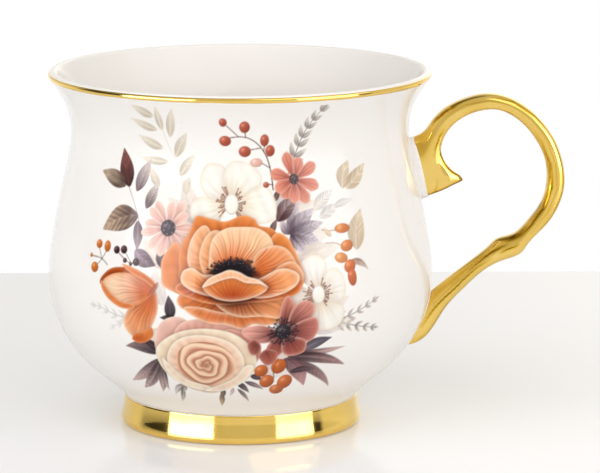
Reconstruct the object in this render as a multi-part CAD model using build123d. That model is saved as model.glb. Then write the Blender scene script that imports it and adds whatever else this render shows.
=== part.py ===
from build123d import *

import os

# A porcelain teacup: a bulbous bowl on a gilded foot ring, with a gilded scroll handle and a flower transfer.
# Millimetres. +Z is up, and the origin is on the bowl's axis, in the plane that the foot stands on.
# The handle is at +X, and the flower transfer faces -Y.

# Driving dimensions of the glazed cup
HEIGHT = 89.0
RIM_RADIUS = 47.5
NECK_RADIUS = 42.1
BELLY_RADIUS = 48.0
FOOT_RADIUS = 29.9
FOOT_TOP_RADIUS = 29.3
FOOT_HEIGHT = 7.4
STANDING_RADIUS = 28.1
RECESS_RADIUS = 24.6
RECESS_COVE = 1.6
INNER_FLOOR_Z = 10.9
WALL = 2.4
LIP_RADIUS = 1.1
# Direction of the flared wall where it meets the lip, in degrees from upright
LIP_FLARE = 32.0

# Thickness of the layers over the porcelain. Real gold and print are thinner than their solids here.
GLAZE = 0.2
GOLD = 0.1
PRINT = 0.08

# Where the layers end
RIM_GOLD_LOW_Z = HEIGHT - 1.7
RIM_GOLD_INNER_RADIUS = RIM_RADIUS - LIP_RADIUS
FOOT_GOLD_LOW_Z = 0.5
FOOT_GOLD_HIGH_Z = FOOT_HEIGHT - 0.1

# Slip that bonds the handle to the bowl
UPPER_SLIP = 1.4
LOWER_SLIP = 0.3
SLIP_BULGE = 0.35
JOINT_SPLIT_Z = 45.0

# The handle's cross-sections are ellipses across a line in its plane of symmetry. Each row gives the line's
# outer end (x, z), its inner end (x, z) and half the section's width across the plane.
SCROLL = [
    (41.2, 71.2, 44.9, 56.4, 3.1),
    (43.4, 71.7, 46.9, 57.0, 3.1),
    (46.2, 72.9, 49.2, 64.6, 3.0),
    (48.4, 75.3, 50.2, 70.2, 2.9),
    (51.2, 78.2, 52.6, 74.4, 2.8),
    (55.4, 80.7, 56.8, 77.7, 2.7),
    (61.5, 82.2, 62.3, 78.9, 2.7),
    (70.8, 79.2, 69.4, 76.8, 2.7),
    (77.8, 71.2, 75.1, 70.2, 2.7),
    (80.5, 60.7, 77.2, 61.5, 2.7),
    (78.0, 50.9, 75.0, 53.8, 2.8),
    (73.6, 45.6, 71.2, 48.8, 3.0),
    (70.2, 42.5, 67.4, 46.5, 3.2),
    (66.1, 41.0, 63.9, 45.3, 3.1),
    (61.6, 38.8, 60.1, 41.7, 2.9),
    (56.4, 34.7, 54.6, 37.6, 2.8),
    (51.4, 29.5, 49.6, 34.0, 2.8),
    (48.0, 23.9, 45.6, 30.0, 2.7),
    (45.1, 20.3, 43.3, 25.2, 2.3),
    (41.9, 18.9, 41.3, 22.3, 1.5),
]
# The thumb spur below the upper root, from inside the root to its tip
SPUR = [
    (44.9, 56.6, 45.0, 69.3, 2.7),
    (46.9, 57.1, 47.8, 68.6, 2.9),
    (50.0, 58.5, 50.2, 65.4, 2.8),
    (52.4, 59.6, 52.5, 63.3, 2.4),
    (54.3, 60.4, 54.2, 62.4, 1.7),
    (55.3, 60.9, 55.2, 61.8, 0.8),
]

# Outline of the flower transfer, seen from the front, as x and z
TRANSFER_OUTLINE = [
    (-30.0, 83.5),
    (-17.0, 77.0),
    (-4.0, 80.0),
    (10.0, 76.0),
    (25.0, 83.0),
    (34.5, 70.0),
    (35.0, 52.0),
    (37.0, 36.0),
    (26.0, 18.0),
    (0.0, 9.6),
    (-26.0, 18.0),
    (-37.0, 32.0),
    (-38.0, 50.0),
    (-36.0, 68.0),
]
# Larger than any part of the cup
FAR = 100.0


def shifted(curve, distance, steps=40):
    """A copy of a curve of the half section, moved to its right-hand side by a distance."""
    if not distance:
        return curve
    points = []
    for step in range(steps + 1):
        along = curve % (step / steps)
        points.append(curve @ (step / steps) + Vector(along.Y, -along.X) * distance)
    return Spline(*points)


def lip(out=0.0):
    """The rounded lip, from its outside over its crest to its inside."""
    centre = Vector(RIM_RADIUS - LIP_RADIUS, HEIGHT - LIP_RADIUS)
    radius = LIP_RADIUS + out
    return CenterArc(centre, radius, -LIP_FLARE, 180)


def outer_wall(out=0.0):
    """The glazed outer face in half section, from the foot ring up to the lip."""
    curve = Spline(
        (FOOT_TOP_RADIUS, FOOT_HEIGHT),
        (34.9, 12.6),
        (39.8, 17.1),
        (44.8, 24.2),
        (47.2, 31.0),
        (BELLY_RADIUS, 38.5),
        (47.1, 47.0),
        (44.3, 61.0),
        (NECK_RADIUS + 0.3, 70.0),
        (NECK_RADIUS + 0.15, 76.5),
        (44.1, 82.3),
        lip() @ 0,
        tangents=[(0.5, 0.87), lip() % 0],
    )
    return shifted(curve, out)


def inner_wall(out=0.0):
    """The glazed inner face in half section, from the lip down to the middle of the floor."""
    curve = Spline(
        lip() @ 1,
        (42.6, 83.0),
        (40.2, 77.5),
        (NECK_RADIUS - WALL, 71.0),
        (41.9, 60.5),
        (44.7, 47.0),
        (BELLY_RADIUS - WALL, 38.5),
        (43.9, 29.0),
        (39.0, 20.6),
        (31.0, 14.2),
        (20.0, 11.6),
        (0, INNER_FLOOR_Z),
        tangents=[lip() % 1, (-1, 0)],
    )
    return shifted(curve, out)


def foot_band(out=0.0):
    """The foot ring's gilded outer face, from the standing ring up to the bowl."""
    curve = Spline(
        (STANDING_RADIUS, 0),
        (FOOT_RADIUS, 3.7),
        (FOOT_TOP_RADIUS, FOOT_HEIGHT),
        tangents=[(0.9, 0.2), (-0.3, 0.95)],
    )
    return shifted(curve, out)


def closed(*curves):
    """The face inside a chain of curves, with straight lines across the gaps between them."""
    edges = []
    for curve, following in zip(curves, curves[1:] + curves[:1]):
        edges.append(curve)
        if ((curve @ 1) - (following @ 0)).length > 0.001:
            edges.append(Line(curve @ 1, following @ 0))
    return make_face(Wire(edges))




def bowl_section():
    """Half section of the porcelain bowl under its glaze."""
    axis = Line((0, INNER_FLOOR_Z - GLAZE), (0, FOOT_HEIGHT))
    underside = Line((0, FOOT_HEIGHT), (FOOT_TOP_RADIUS, FOOT_HEIGHT))
    return closed(outer_wall(-GLAZE), lip(-GLAZE), inner_wall(-GLAZE), axis, underside)


def layer_section(profiles, inside, outside):
    """Half section of a thin layer over some stretches of the profile."""
    face = [profile(outside) for profile in profiles]
    back = [profile(inside) for profile in profiles]
    edges = face + back
    edges.append(Line(face[-1] @ 1, back[-1] @ 1))
    edges.append(Line(face[0] @ 0, back[0] @ 0))
    return make_face(Wire(edges))


def foot_section():
    """Half section of the foot ring: outer band, top, cove into the recess, inner wall, standing ring."""
    band = foot_band()
    cove_end = (RECESS_RADIUS - RECESS_COVE, FOOT_HEIGHT)
    cove_start = (RECESS_RADIUS, FOOT_HEIGHT - RECESS_COVE)
    top = Line(band @ 1, cove_end)
    cove = Spline(cove_end, cove_start, tangents=[(1, 0), (0, -1)])
    inner_edge_start = (RECESS_RADIUS, RECESS_COVE)
    inner_edge_end = (RECESS_RADIUS + RECESS_COVE, 0)
    wall = Line(cove_start, inner_edge_start)
    inner_edge = Spline(inner_edge_start, inner_edge_end, tangents=[(0, -1), (1, 0)])
    standing = Line(inner_edge_end, band @ 0)
    return make_face(Wire([band, top, cove, wall, inner_edge, standing]))


def filled_bowl(out):
    """The bowl with its inside filled, and its outer face moved out by a distance."""
    outer = outer_wall(out)
    top = Line(outer @ 1, (0, (outer @ 1).Y))
    axis = Line(top @ 1, (0, FOOT_HEIGHT))
    bottom = Line(axis @ 1, outer @ 0)
    return turned(make_face(Wire([outer, top, axis, bottom])))


def window(low_r, low_z, high_z):
    """A rectangle in the half section, used to keep one stretch of a layer."""
    corners = [(low_r, low_z), (FAR, low_z), (FAR, high_z), (low_r, high_z)]
    return make_face(Polyline(*corners, close=True))


def turned(section):
    """The solid of revolution of a half section about the cup's axis."""
    return revolve(Plane.XZ * section, Axis.Z)


def handle_section(station, grow):
    """One elliptical cross-section of the handle, made larger all round by grow."""
    outer_x, outer_z, inner_x, inner_z, half_width = station
    outer = Vector(outer_x, 0, outer_z)
    inner = Vector(inner_x, 0, inner_z)
    across = outer - inner
    plane = Plane((outer + inner) / 2, x_dir=across, z_dir=across.cross(Vector(0, 1, 0)))
    return plane * Ellipse(across.length / 2 + grow, half_width + grow)


def scroll_solid(grow=0.0):
    """The whole handle before it is cut to the bowl, with its spur."""
    strap = loft([handle_section(station, grow) for station in SCROLL])
    spur = loft([handle_section(station, grow) for station in SPUR])
    return strap + spur


def slab(low_z, high_z):
    """Everything between two heights."""
    return Pos(0, 0, (low_z + high_z) / 2) * Box(2 * FAR, 2 * FAR, high_z - low_z)


def transfer_prism():
    """The outline of the flower transfer, as a prism in front of the cup's axis."""
    outline = make_face(Spline(*TRANSFER_OUTLINE, periodic=True))
    return extrude(Plane.XZ * outline, FAR)


def build():
    """All sub-parts by node name."""
    bowl_profiles = [outer_wall, lip, inner_wall]
    porcelain = filled_bowl(-GLAZE)
    upper_limit = filled_bowl(UPPER_SLIP) & slab(JOINT_SPLIT_Z, FAR)
    lower_limit = filled_bowl(LOWER_SLIP) & slab(0, JOINT_SPLIT_Z)
    scroll = scroll_solid()
    upper_end = scroll_solid(SLIP_BULGE) & slab(JOINT_SPLIT_Z, FAR)
    lower_end = scroll & slab(0, JOINT_SPLIT_Z)
    glaze = turned(layer_section(bowl_profiles, -GLAZE, 0))

    rim_window = window(RIM_GOLD_INNER_RADIUS, RIM_GOLD_LOW_Z, FAR)
    foot_window = window(0, FOOT_GOLD_LOW_Z, FOOT_GOLD_HIGH_Z)
    ink = turned(layer_section([outer_wall], 0, PRINT))

    return {
        "bowl": turned(bowl_section()),
        "foot_ring": turned(foot_section()),
        "glaze_coat": glaze - upper_end - lower_end,
        "handle": scroll - upper_limit - lower_limit,
        "upper_luting_pad": (upper_end & upper_limit) - porcelain,
        "lower_luting_pad": (lower_end & lower_limit) - porcelain,
        "rim_gilding": turned(layer_section(bowl_profiles, 0, GOLD) & rim_window),
        "foot_gilding": turned(layer_section([foot_band], 0, GOLD) & foot_window),
        "handle_gilding": scroll_solid(GOLD) - scroll - upper_limit - lower_limit,
        "flower_transfer": ink & transfer_prism(),
    }


os.makedirs("parts", exist_ok=True)
for node, shape in build().items():
    export_step(shape, f"parts/{node}.step")
    print(node, round(shape.volume, 1), len(shape.solids()), shape.is_valid)
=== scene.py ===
import math

import bmesh
import bpy
import numpy as np
from mathutils import Euler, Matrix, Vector

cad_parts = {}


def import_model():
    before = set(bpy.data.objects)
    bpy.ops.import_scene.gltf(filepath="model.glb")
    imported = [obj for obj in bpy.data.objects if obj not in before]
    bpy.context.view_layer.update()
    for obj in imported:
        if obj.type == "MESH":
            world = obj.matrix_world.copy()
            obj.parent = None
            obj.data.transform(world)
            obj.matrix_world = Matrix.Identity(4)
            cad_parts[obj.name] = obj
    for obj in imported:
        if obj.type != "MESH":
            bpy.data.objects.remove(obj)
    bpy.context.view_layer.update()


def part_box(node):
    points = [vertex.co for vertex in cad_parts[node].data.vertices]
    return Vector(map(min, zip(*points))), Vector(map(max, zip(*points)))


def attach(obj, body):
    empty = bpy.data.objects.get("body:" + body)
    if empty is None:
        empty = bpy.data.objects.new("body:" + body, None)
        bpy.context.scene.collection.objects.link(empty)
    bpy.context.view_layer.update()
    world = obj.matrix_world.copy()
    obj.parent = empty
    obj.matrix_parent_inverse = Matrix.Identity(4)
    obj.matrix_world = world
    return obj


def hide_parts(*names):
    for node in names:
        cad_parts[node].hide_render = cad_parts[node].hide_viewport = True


# A porcelain teacup, built around its CAD frame: glazed bowl, foot ring, gilded scroll handle, slip joints,
# gold lines and a painted bouquet. Lengths are in millimetres until a mesh is made, and metres after that.

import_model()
MM = 0.001

# ---------------------------------------------------------------- sizes, from the frame where it has them
FOOT_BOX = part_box("foot_ring")
GLAZE_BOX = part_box("glaze_coat")
RIM_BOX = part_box("rim_gilding")
GOLD_SKIN = 0.1
GOLD_SUNK = 0.05
GOLD_BELOW_CREST = 0.35
GLAZE_SKIN = 0.2
HEIGHT = GLAZE_BOX[1].z / MM
BELLY = GLAZE_BOX[1].x / MM
RIM = RIM_BOX[1].x / MM - GOLD_SKIN
FOOT_HEIGHT = FOOT_BOX[1].z / MM
FOOT = FOOT_BOX[1].x / MM
NECK = 42.1
FOOT_TOP = FOOT - 0.6
STANDING = FOOT - 1.8
RECESS = 24.6
COVE = 1.6
INNER_FLOOR = 10.9
WALL = 2.4
LIP = 1.1
LIP_FLARE = math.radians(32)

# ---------------------------------------------------------------- curves and profiles


def spline(points, steps):
    """Points along a smooth centripetal curve through some points, with natural ends."""
    pts = np.array(points, float)
    gaps = np.linalg.norm(np.diff(pts, axis=0), axis=1) ** 0.5
    knots = np.concatenate([[0], np.cumsum(gaps)])
    n = len(pts)
    matrix = np.zeros((n, n))
    right = np.zeros((n, pts.shape[1]))
    matrix[0, 0] = matrix[-1, -1] = 1
    for i in range(1, n - 1):
        before, after = knots[i] - knots[i - 1], knots[i + 1] - knots[i]
        matrix[i, i - 1:i + 2] = before, 2 * (before + after), after
        right[i] = 6 * ((pts[i + 1] - pts[i]) / after - (pts[i] - pts[i - 1]) / before)
    bend = np.linalg.solve(matrix, right)
    at = np.linspace(0, knots[-1], steps + 1)
    span = np.clip(np.searchsorted(knots, at, side="right") - 1, 0, n - 2)
    width = (knots[span + 1] - knots[span])[:, None]
    a = (knots[span + 1] - at)[:, None] / width
    b = 1 - a
    curve = a * pts[span] + b * pts[span + 1]
    return curve + ((a**3 - a) * bend[span] + (b**3 - b) * bend[span + 1]) * width**2 / 6


def shifted(curve, out):
    """A curve of the half section moved to its right-hand side, by one distance or by one for each point."""
    along = np.gradient(curve, axis=0)
    along /= np.linalg.norm(along, axis=1)[:, None]
    return curve + np.stack([along[:, 1], -along[:, 0]], 1) * np.asarray(out)[..., None]


def lip_arc(out=0.0, steps=16):
    """The rounded lip, from its outside over its crest to its inside."""
    turn = np.linspace(-LIP_FLARE, math.pi - LIP_FLARE, steps + 1)
    ring = np.stack([np.cos(turn), np.sin(turn)], 1) * (LIP + out)
    return ring + [RIM - LIP, HEIGHT - LIP]


def outer_wall(out=0.0, steps=110):
    """The glazed outer face, from the foot ring up to the lip."""
    points = [
        (FOOT_TOP, FOOT_HEIGHT),
        (31.3, 9.6),
        (34.9, 12.6),
        (39.8, 17.1),
        (44.8, 24.2),
        (47.2, 31.0),
        (BELLY, 38.5),
        (47.1, 47.0),
        (44.3, 61.0),
        (NECK + 0.3, 70.0),
        (NECK + 0.15, 76.5),
        (44.1, 82.3),
        lip_arc()[0],
    ]
    return shifted(spline(points, steps), out)


def inner_wall(out=0.0, steps=100):
    """The glazed inner face, from the lip down to the middle of the floor."""
    points = [
        lip_arc()[-1],
        (42.6, 83.0),
        (40.2, 77.5),
        (NECK - WALL, 71.0),
        (41.9, 60.5),
        (44.7, 47.0),
        (BELLY - WALL, 38.5),
        (43.9, 29.0),
        (39.0, 20.6),
        (31.0, 14.2),
        (20.0, 11.6),
        (8.0, INNER_FLOOR + 0.1),
        (0.0, INNER_FLOOR),
    ]
    wall = shifted(spline(points, steps), out)
    wall[-1, 0] = 0
    return wall


def foot_band(out=0.0, steps=24):
    """The foot ring's outer face, from the standing ring up to the bowl: widest near the bottom."""
    points = [
        (STANDING + 0.5, 0),
        (FOOT - 0.2, 0.5),
        (FOOT + 0.08, 1.4),
        (FOOT - 0.16, 3.0),
        (FOOT - 0.5, 5.2),
        (FOOT_TOP - 0.05, FOOT_HEIGHT),
    ]
    return shifted(spline(points, steps), out)


def straight(start, end, steps):
    """Evenly spaced points of a straight run, without its two ends."""
    share = np.linspace(0, 1, steps + 1)[1:-1, None]
    return np.array(start, float) * (1 - share) + np.array(end, float) * share


def quarter(centre, radius, start, end, steps=8):
    """An arc of a circle between two angles in degrees."""
    turn = np.radians(np.linspace(start, end, steps + 1))
    return np.array(centre, float) + np.stack([np.cos(turn), np.sin(turn)], 1) * radius


# ---------------------------------------------------------------- meshes


def new_mesh(name, vertices, faces):
    """A smooth-shaded object from vertices in millimetres."""
    mesh = bpy.data.meshes.new(name)
    mesh.from_pydata((np.asarray(vertices) * MM).tolist(), [], faces)
    mesh.validate()
    for polygon in mesh.polygons:
        polygon.use_smooth = True
    obj = bpy.data.objects.new(name, mesh)
    bpy.context.scene.collection.objects.link(obj)
    return obj


def turned(name, loop, segments=256, wave=None):
    """A closed solid of revolution from a closed loop of (radius, z). Points on the axis become poles.
    The loop runs anticlockwise, seen with the radius to the right."""
    loop = np.asarray(loop, float)
    vertices = []
    rows = []
    for index, (radius, z) in enumerate(loop):
        if radius < 1e-6:
            rows.append([len(vertices)] * segments)
            vertices.append((0, 0, z))
            continue
        rows.append(list(range(len(vertices), len(vertices) + segments)))
        for k in range(segments):
            angle = 2 * math.pi * k / segments
            lift = wave(index, angle) if wave else 0.0
            vertices.append((radius * math.cos(angle), radius * math.sin(angle), z + lift))
    faces = []
    for row, following in zip(rows, rows[1:] + rows[:1]):
        for k in range(segments):
            after = (k + 1) % segments
            corners = [row[k], row[after], following[after], following[k]]
            unique = list(dict.fromkeys(corners))
            if len(unique) > 2:
                faces.append(unique)
    return new_mesh(name, vertices, faces)


def ring_quads(first, second, count):
    """The faces between two rings of points, whose first points have these indices."""
    return [[first + k, first + (k + 1) % count, second + (k + 1) % count, second + k] for k in range(count)]


def glaze_shell():
    """The glaze over the bowl, outside, over the lip and inside, as a closed shell."""
    face = np.concatenate([outer_wall()[:-1], lip_arc(), inner_wall()[1:]])
    back = np.concatenate([outer_wall(-GLAZE_SKIN)[:-1], lip_arc(-GLAZE_SKIN), inner_wall(-GLAZE_SKIN)[1:]])
    return turned("glazed_surface", np.concatenate([face, back[::-1]]))


def bowl_core():
    """The porcelain bowl under the glaze. Its underside is the roof of the foot's recess."""
    skin = [outer_wall(-GLAZE_SKIN)[:-1], lip_arc(-GLAZE_SKIN), inner_wall(-GLAZE_SKIN)[1:]]
    underside = straight((0, FOOT_HEIGHT), (FOOT_TOP, FOOT_HEIGHT), 12)
    loop = np.concatenate([*skin, [(0, FOOT_HEIGHT)], underside, [(FOOT_TOP, FOOT_HEIGHT)]])
    return turned("porcelain_bowl", loop)


def foot_ring():
    """The foot ring: outer band, top, cove, inner wall, rounded inner edge and flat standing ring."""
    band = foot_band()
    cove = quarter((RECESS - COVE, FOOT_HEIGHT - COVE), COVE, 90, 0)
    inner_edge = quarter((RECESS + COVE, COVE), COVE, 180, 270)
    top = straight(band[-1], cove[0], 5)
    wall = straight(cove[-1], inner_edge[0], 6)
    standing = straight(inner_edge[-1], band[0], 4)
    return turned("foot_ring_turned", np.concatenate([band, top, cove, wall, inner_edge, standing]))


def brush_wave(angle, size, phase):
    """A slow, uneven wave round the cup, as a hand-held brush leaves on a turning rim."""
    waves = [(3, 0.45), (7, 0.25), (13, 0.2), (23, 0.12), (41, 0.08)]
    return size * sum(w * math.sin(n * angle + phase * (n + 1)) for n, w in waves)


def gold_layer(face):
    """The section of a thin layer of gold over a face: sunk a little into it, and thinner at both edges."""
    rank = np.arange(len(face))
    taper = np.minimum(1, np.minimum(rank, rank[::-1]) / 2)
    return np.concatenate([shifted(face, GOLD_SKIN * (0.25 + 0.75 * taper)), shifted(face, -GOLD_SUNK)[::-1]])


def rim_gold():
    """The gold line round the outside of the lip, just under its crest. Its lower edge is a brush line."""
    wall = outer_wall(steps=400)
    wall = wall[wall[:, 1] > RIM_BOX[0].z / MM][::3]
    crest = lip_arc(steps=48)
    crest = crest[: crest[:, 1].argmax()]
    crest = crest[crest[:, 1] < HEIGHT - GOLD_BELOW_CREST][::2]
    loop = gold_layer(np.concatenate([wall, crest[1:]]))
    low_edge = {0, 1, 2, len(loop) - 1, len(loop) - 2}
    return turned("rim_gold_line", loop, 512, lambda i, a: brush_wave(a, 0.08, 1.7) if i in low_edge else 0)


def foot_gold():
    """The gold band on the foot ring."""
    band = foot_band(steps=60)
    band = band[(band[:, 1] > 0.15) & (band[:, 1] < FOOT_HEIGHT - 0.1)]
    return turned("foot_gold_band", gold_layer(band), 384)


# ---------------------------------------------------------------- handle

# Cross-sections from the slip joint over the loop to the tail:
# outer x, z, inner x, z, half width and squareness.
SCROLL = [
    (43.2, 71.8, 46.8, 56.9, 3.1, 0.80),
    (44.8, 72.5, 48.6, 57.7, 3.15, 0.80),
    (46.3, 73.8, 50.2, 67.2, 3.15, 0.80),
    (48.1, 76.3, 50.4, 70.4, 3.05, 0.80),
    (50.9, 79.0, 52.3, 74.0, 2.95, 0.79),
    (55.3, 81.3, 56.7, 77.3, 2.85, 0.78),
    (61.5, 82.7, 62.2, 78.7, 2.8, 0.78),
    (68.0, 81.3, 66.7, 77.7, 2.8, 0.78),
    (73.6, 77.4, 71.0, 74.5, 2.8, 0.79),
    (78.0, 71.9, 74.3, 70.0, 2.8, 0.80),
    (80.5, 65.5, 76.2, 65.2, 2.8, 0.80),
    (80.9, 58.6, 76.4, 59.6, 2.8, 0.80),
    (78.3, 51.9, 74.8, 54.5, 2.85, 0.80),
    (74.7, 47.6, 72.0, 50.7, 2.95, 0.79),
    (72.2, 44.8, 69.4, 47.9, 3.05, 0.76),
    (70.3, 42.3, 66.9, 46.7, 3.15, 0.76),
    (67.2, 40.9, 64.2, 45.9, 3.15, 0.75),
    (63.8, 39.6, 62.1, 44.0, 3.05, 0.73),
    (60.0, 37.1, 58.6, 41.1, 2.95, 0.71),
    (55.9, 33.2, 54.2, 37.7, 2.9, 0.70),
    (52.0, 29.0, 50.1, 34.5, 2.9, 0.70),
    (49.1, 24.5, 46.9, 31.6, 2.8, 0.72),
    (46.7, 21.2, 44.1, 27.8, 2.5, 0.74),
    (44.1, 19.4, 42.3, 24.2, 1.9, 0.75),
    (42.0, 18.8, 41.4, 21.6, 1.2, 0.75),
]
# The thumb spur grows out of the inner side, between this section and the next.
SPUR_FROM = 1
# Its own sections, from the root to the tip: lower x, z, upper x, z, half width.
SPUR = [
    (50.8, 58.6, 51.5, 64.9, 2.95),
    (52.9, 59.6, 53.2, 63.2, 2.5),
    (54.6, 60.3, 54.6, 62.3, 1.7),
    (55.5, 60.8, 55.3, 61.6, 0.9),
]
SPUR_ROUNDING = 0.2
FIT_ROUNDS, FIT_STEP, FIT_LEVELS, FINAL_LEVELS = 10, 0.9, 2, 3


def ring_points(station):
    """Eight points round one handle section, from its outer end by -Y to the inner end and back by +Y."""
    outer_x, outer_z, inner_x, inner_z, half_width, corner = station
    outer = np.array([outer_x, 0, outer_z])
    inner = np.array([inner_x, 0, inner_z])
    middle, reach = (outer + inner) / 2, (outer - inner) / 2
    side = np.array([0, -half_width, 0])
    turns = [(1, 0), (corner, corner), (0, 1), (-corner, corner)]
    turns += [(-a, -b) for a, b in turns]
    return [middle + reach * a + side * b for a, b in turns]


def fitted_cage(name, points, faces, sharp):
    """A subdivided mesh whose surface passes through the given points. Its cage is moved until it does."""
    points = np.array(points)
    cage = points.copy()
    obj = new_mesh(name, cage, faces)
    crease = obj.data.attributes.new("crease_edge", "FLOAT", "EDGE")
    for edge in obj.data.edges:
        if tuple(sorted(edge.vertices)) in sharp:
            crease.data[edge.index].value = 1.0
    modifier = obj.modifiers.new("subdivide", "SUBSURF")
    modifier.levels = modifier.render_levels = FIT_LEVELS
    for _ in range(FIT_ROUNDS):
        depsgraph = bpy.context.evaluated_depsgraph_get()
        evaluated = obj.evaluated_get(depsgraph)
        reached = np.empty(len(evaluated.data.vertices) * 3)
        evaluated.data.vertices.foreach_get("co", reached)
        reached = reached.reshape(-1, 3)[: len(points)] / MM
        cage += FIT_STEP * (points - reached)
        obj.data.vertices.foreach_set("co", (cage * MM).ravel())
        obj.data.update()
    obj.modifiers.clear()
    subdivide(obj, FINAL_LEVELS)
    return obj


def gilded_scroll():
    """The handle: a subdivided cage with the spur drawn out of the root's inner side."""
    points = [point for station in SCROLL for point in ring_points(station)]
    last = len(SCROLL) - 1
    faces = []
    for ring in range(last):
        quads = ring_quads(ring * 8, ring * 8 + 8, 8)
        faces += quads[:3] + quads[5:] if ring == SPUR_FROM else quads
    low, high = SPUR_FROM * 8, SPUR_FROM * 8 + 8
    around = [low + 3, low + 4, low + 5, high + 5, high + 4, high + 3]
    sharp = {tuple(sorted((k, (k + 1) % 8))) for k in range(8)}
    for lower_x, lower_z, upper_x, upper_z, half_width in SPUR:
        start = len(points)
        inset = SPUR_ROUNDING * (upper_z - lower_z) / 2 + 0.12
        lower = [(lower_x, lower_z + inset, -0.8), (lower_x, lower_z, 0), (lower_x, lower_z + inset, 0.8)]
        upper = [(upper_x, upper_z - inset, 0.8), (upper_x, upper_z, 0), (upper_x, upper_z - inset, -0.8)]
        points += [np.array([x, side * half_width, z]) for x, z, side in lower + upper]
        ring = list(range(start, start + 6))
        for k in range(6):
            after = (k + 1) % 6
            faces.append([around[k], around[after], ring[after], ring[k]])
        around = ring
    faces.append([around[0], around[1], around[4], around[5]])
    faces.append([around[1], around[2], around[3], around[4]])
    for base in (0, last * 8):
        corners = [base + k for k in range(8)]
        quads = [[0, 1, 2, 7], [7, 2, 3, 6], [6, 3, 4, 5]]
        quads = [[corners[k] for k in quad] for quad in quads]
        faces += quads if base else [quad[::-1] for quad in quads]
    handle = fitted_cage("gilded_scroll_handle", points, faces, sharp)
    # paints dark reflection lines into the gold's colour
    paint_dark_reflections(handle)
    return handle


# Painted dark reflections on the gold: brown lines where it would mirror dark things. Columns: first and last
# section, place across the strap from its inner edge at -1 to its outer edge at 1, width in the same measure,
# and strength.
PAINTED_DARK_REFLECTIONS = [
    (7.6, 15.0, -0.62, 0.36, 0.20),
    (8.6, 14.8, -0.50, 0.19, 1.00),
    (9.6, 13.2, -1.00, 0.12, 0.90),
    (8.0, 13.6, 0.14, 0.10, 0.50),
    (9.0, 13.4, 0.88, 0.16, 0.55),
    (4.6, 9.0, -0.90, 0.14, 0.55),
    (2.6, 5.2, 0.84, 0.15, 0.95),
    (6.2, 8.6, 0.80, 0.12, 0.90),
    (3.4, 7.4, 0.36, 0.09, 0.50),
    (1.6, 3.6, -0.30, 0.10, 0.95),
    (-0.8, 2.8, 0.66, 0.46, 0.42),
    (-0.8, 1.4, -1.00, 0.09, 0.95),
    (13.2, 15.8, -0.72, 0.22, 1.00),
    (14.5, 16.4, 0.06, 0.10, 1.00),
    (15.6, 22.0, -0.60, 0.28, 0.50),
    (15.1, 18.6, -0.40, 0.12, 1.00),
    (16.9, 22.2, 0.06, 0.11, 1.00),
    (15.5, 23.5, 0.90, 0.16, 0.60),
]
# A painted dark reflection line round the spur's edge: x and z.
SPUR_DARK_REFLECTION = [
    (46.9, 57.1), (55.3, 61.0), (55.1, 61.9), (52.9, 63.1), (50.9, 65.0), (49.9, 67.4), (50.3, 70.2),
]
STREAK_STEPS = 12
SPUR_DARK_REFLECTION_WIDTH = 0.3


def paint_dark_reflections(handle):
    """Stores how strongly a dark reflection is painted on the gold at each point of the handle, as a point
    attribute.
    """
    sections = np.array(SCROLL)
    at = np.linspace(0, len(sections) - 1, STREAK_STEPS * (len(sections) - 1) + 1)
    rows = np.stack([np.interp(at, np.arange(len(sections)), column) for column in sections.T], 1)
    outer, inner = rows[:, 0:2], rows[:, 2:4]
    middle, reach = (outer + inner) / 2, (outer - inner) / 2
    mesh = handle.data
    place = np.empty(len(mesh.vertices) * 3)
    mesh.vertices.foreach_get("co", place)
    flat = place.reshape(-1, 3)[:, [0, 2]] / MM
    across = np.einsum("vsk,sk->vs", flat[:, None] - middle, reach) / (reach**2).sum(1)
    off = ((flat[:, None] - middle - across[..., None] * reach) ** 2).sum(2)
    off += 4.0 * np.maximum(np.abs(across) - 1.05, 0) ** 2
    nearest = off.argmin(1)
    section, side = at[nearest], across[np.arange(len(flat)), nearest]
    dark_reflection = np.zeros(len(flat))
    # each line is a painted dark reflection along the strap
    for first, last, where, width, strength in PAINTED_DARK_REFLECTIONS:
        run = np.clip((section - first) / (last - first), 0, 1)
        taper = np.sin(math.pi * run) ** 0.6
        waver = 0.05 * np.sin(2.3 * section + 9 * where)
        line = np.exp(-(((side - where - waver) / width) ** 2)) * strength * taper
        dark_reflection = 1 - (1 - dark_reflection) * (1 - line)
    # and a painted dark reflection line round the spur's edge
    gap = np.full(len(flat), 1e9)
    corners = np.array(SPUR_DARK_REFLECTION)
    for start, way in zip(corners, np.diff(corners, axis=0)):
        run = np.clip(((flat - start) @ way) / (way @ way), 0, 1)
        gap = np.minimum(gap, np.hypot(*(flat - start - run[:, None] * way).T))
    dark_reflection = 1 - (1 - dark_reflection) * (1 - 0.85 * np.exp(-((gap / SPUR_DARK_REFLECTION_WIDTH) ** 2)))
    attribute = mesh.attributes.new("dark_reflection", "FLOAT_COLOR", "POINT")
    attribute.data.foreach_set("color", np.repeat(dark_reflection[:, None], 4, 1).ravel())


def subdivide(obj, levels):
    """Applies a subdivision surface."""
    modifier = obj.modifiers.new("subdivide", "SUBSURF")
    modifier.levels = modifier.render_levels = levels
    depsgraph = bpy.context.evaluated_depsgraph_get()
    mesh = bpy.data.meshes.new_from_object(obj.evaluated_get(depsgraph))
    obj.modifiers.clear()
    old = obj.data
    obj.data = mesh
    bpy.data.meshes.remove(old)
    mesh.name = obj.name


# The slip round the upper root, ring by ring: place along the joint, and how far it stands out.
ROOT_SLIP = [(-2.6, 0.55), (-1.5, 0.5), (-0.9, 0.38), (-0.3, 0.36), (0.12, 0.26), (0.3, 0.0), (0.3, -0.4)]
ROOT_SLIP_POINTS = 64
ROOT_SLIP_SQUARENESS = 0.8


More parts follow.
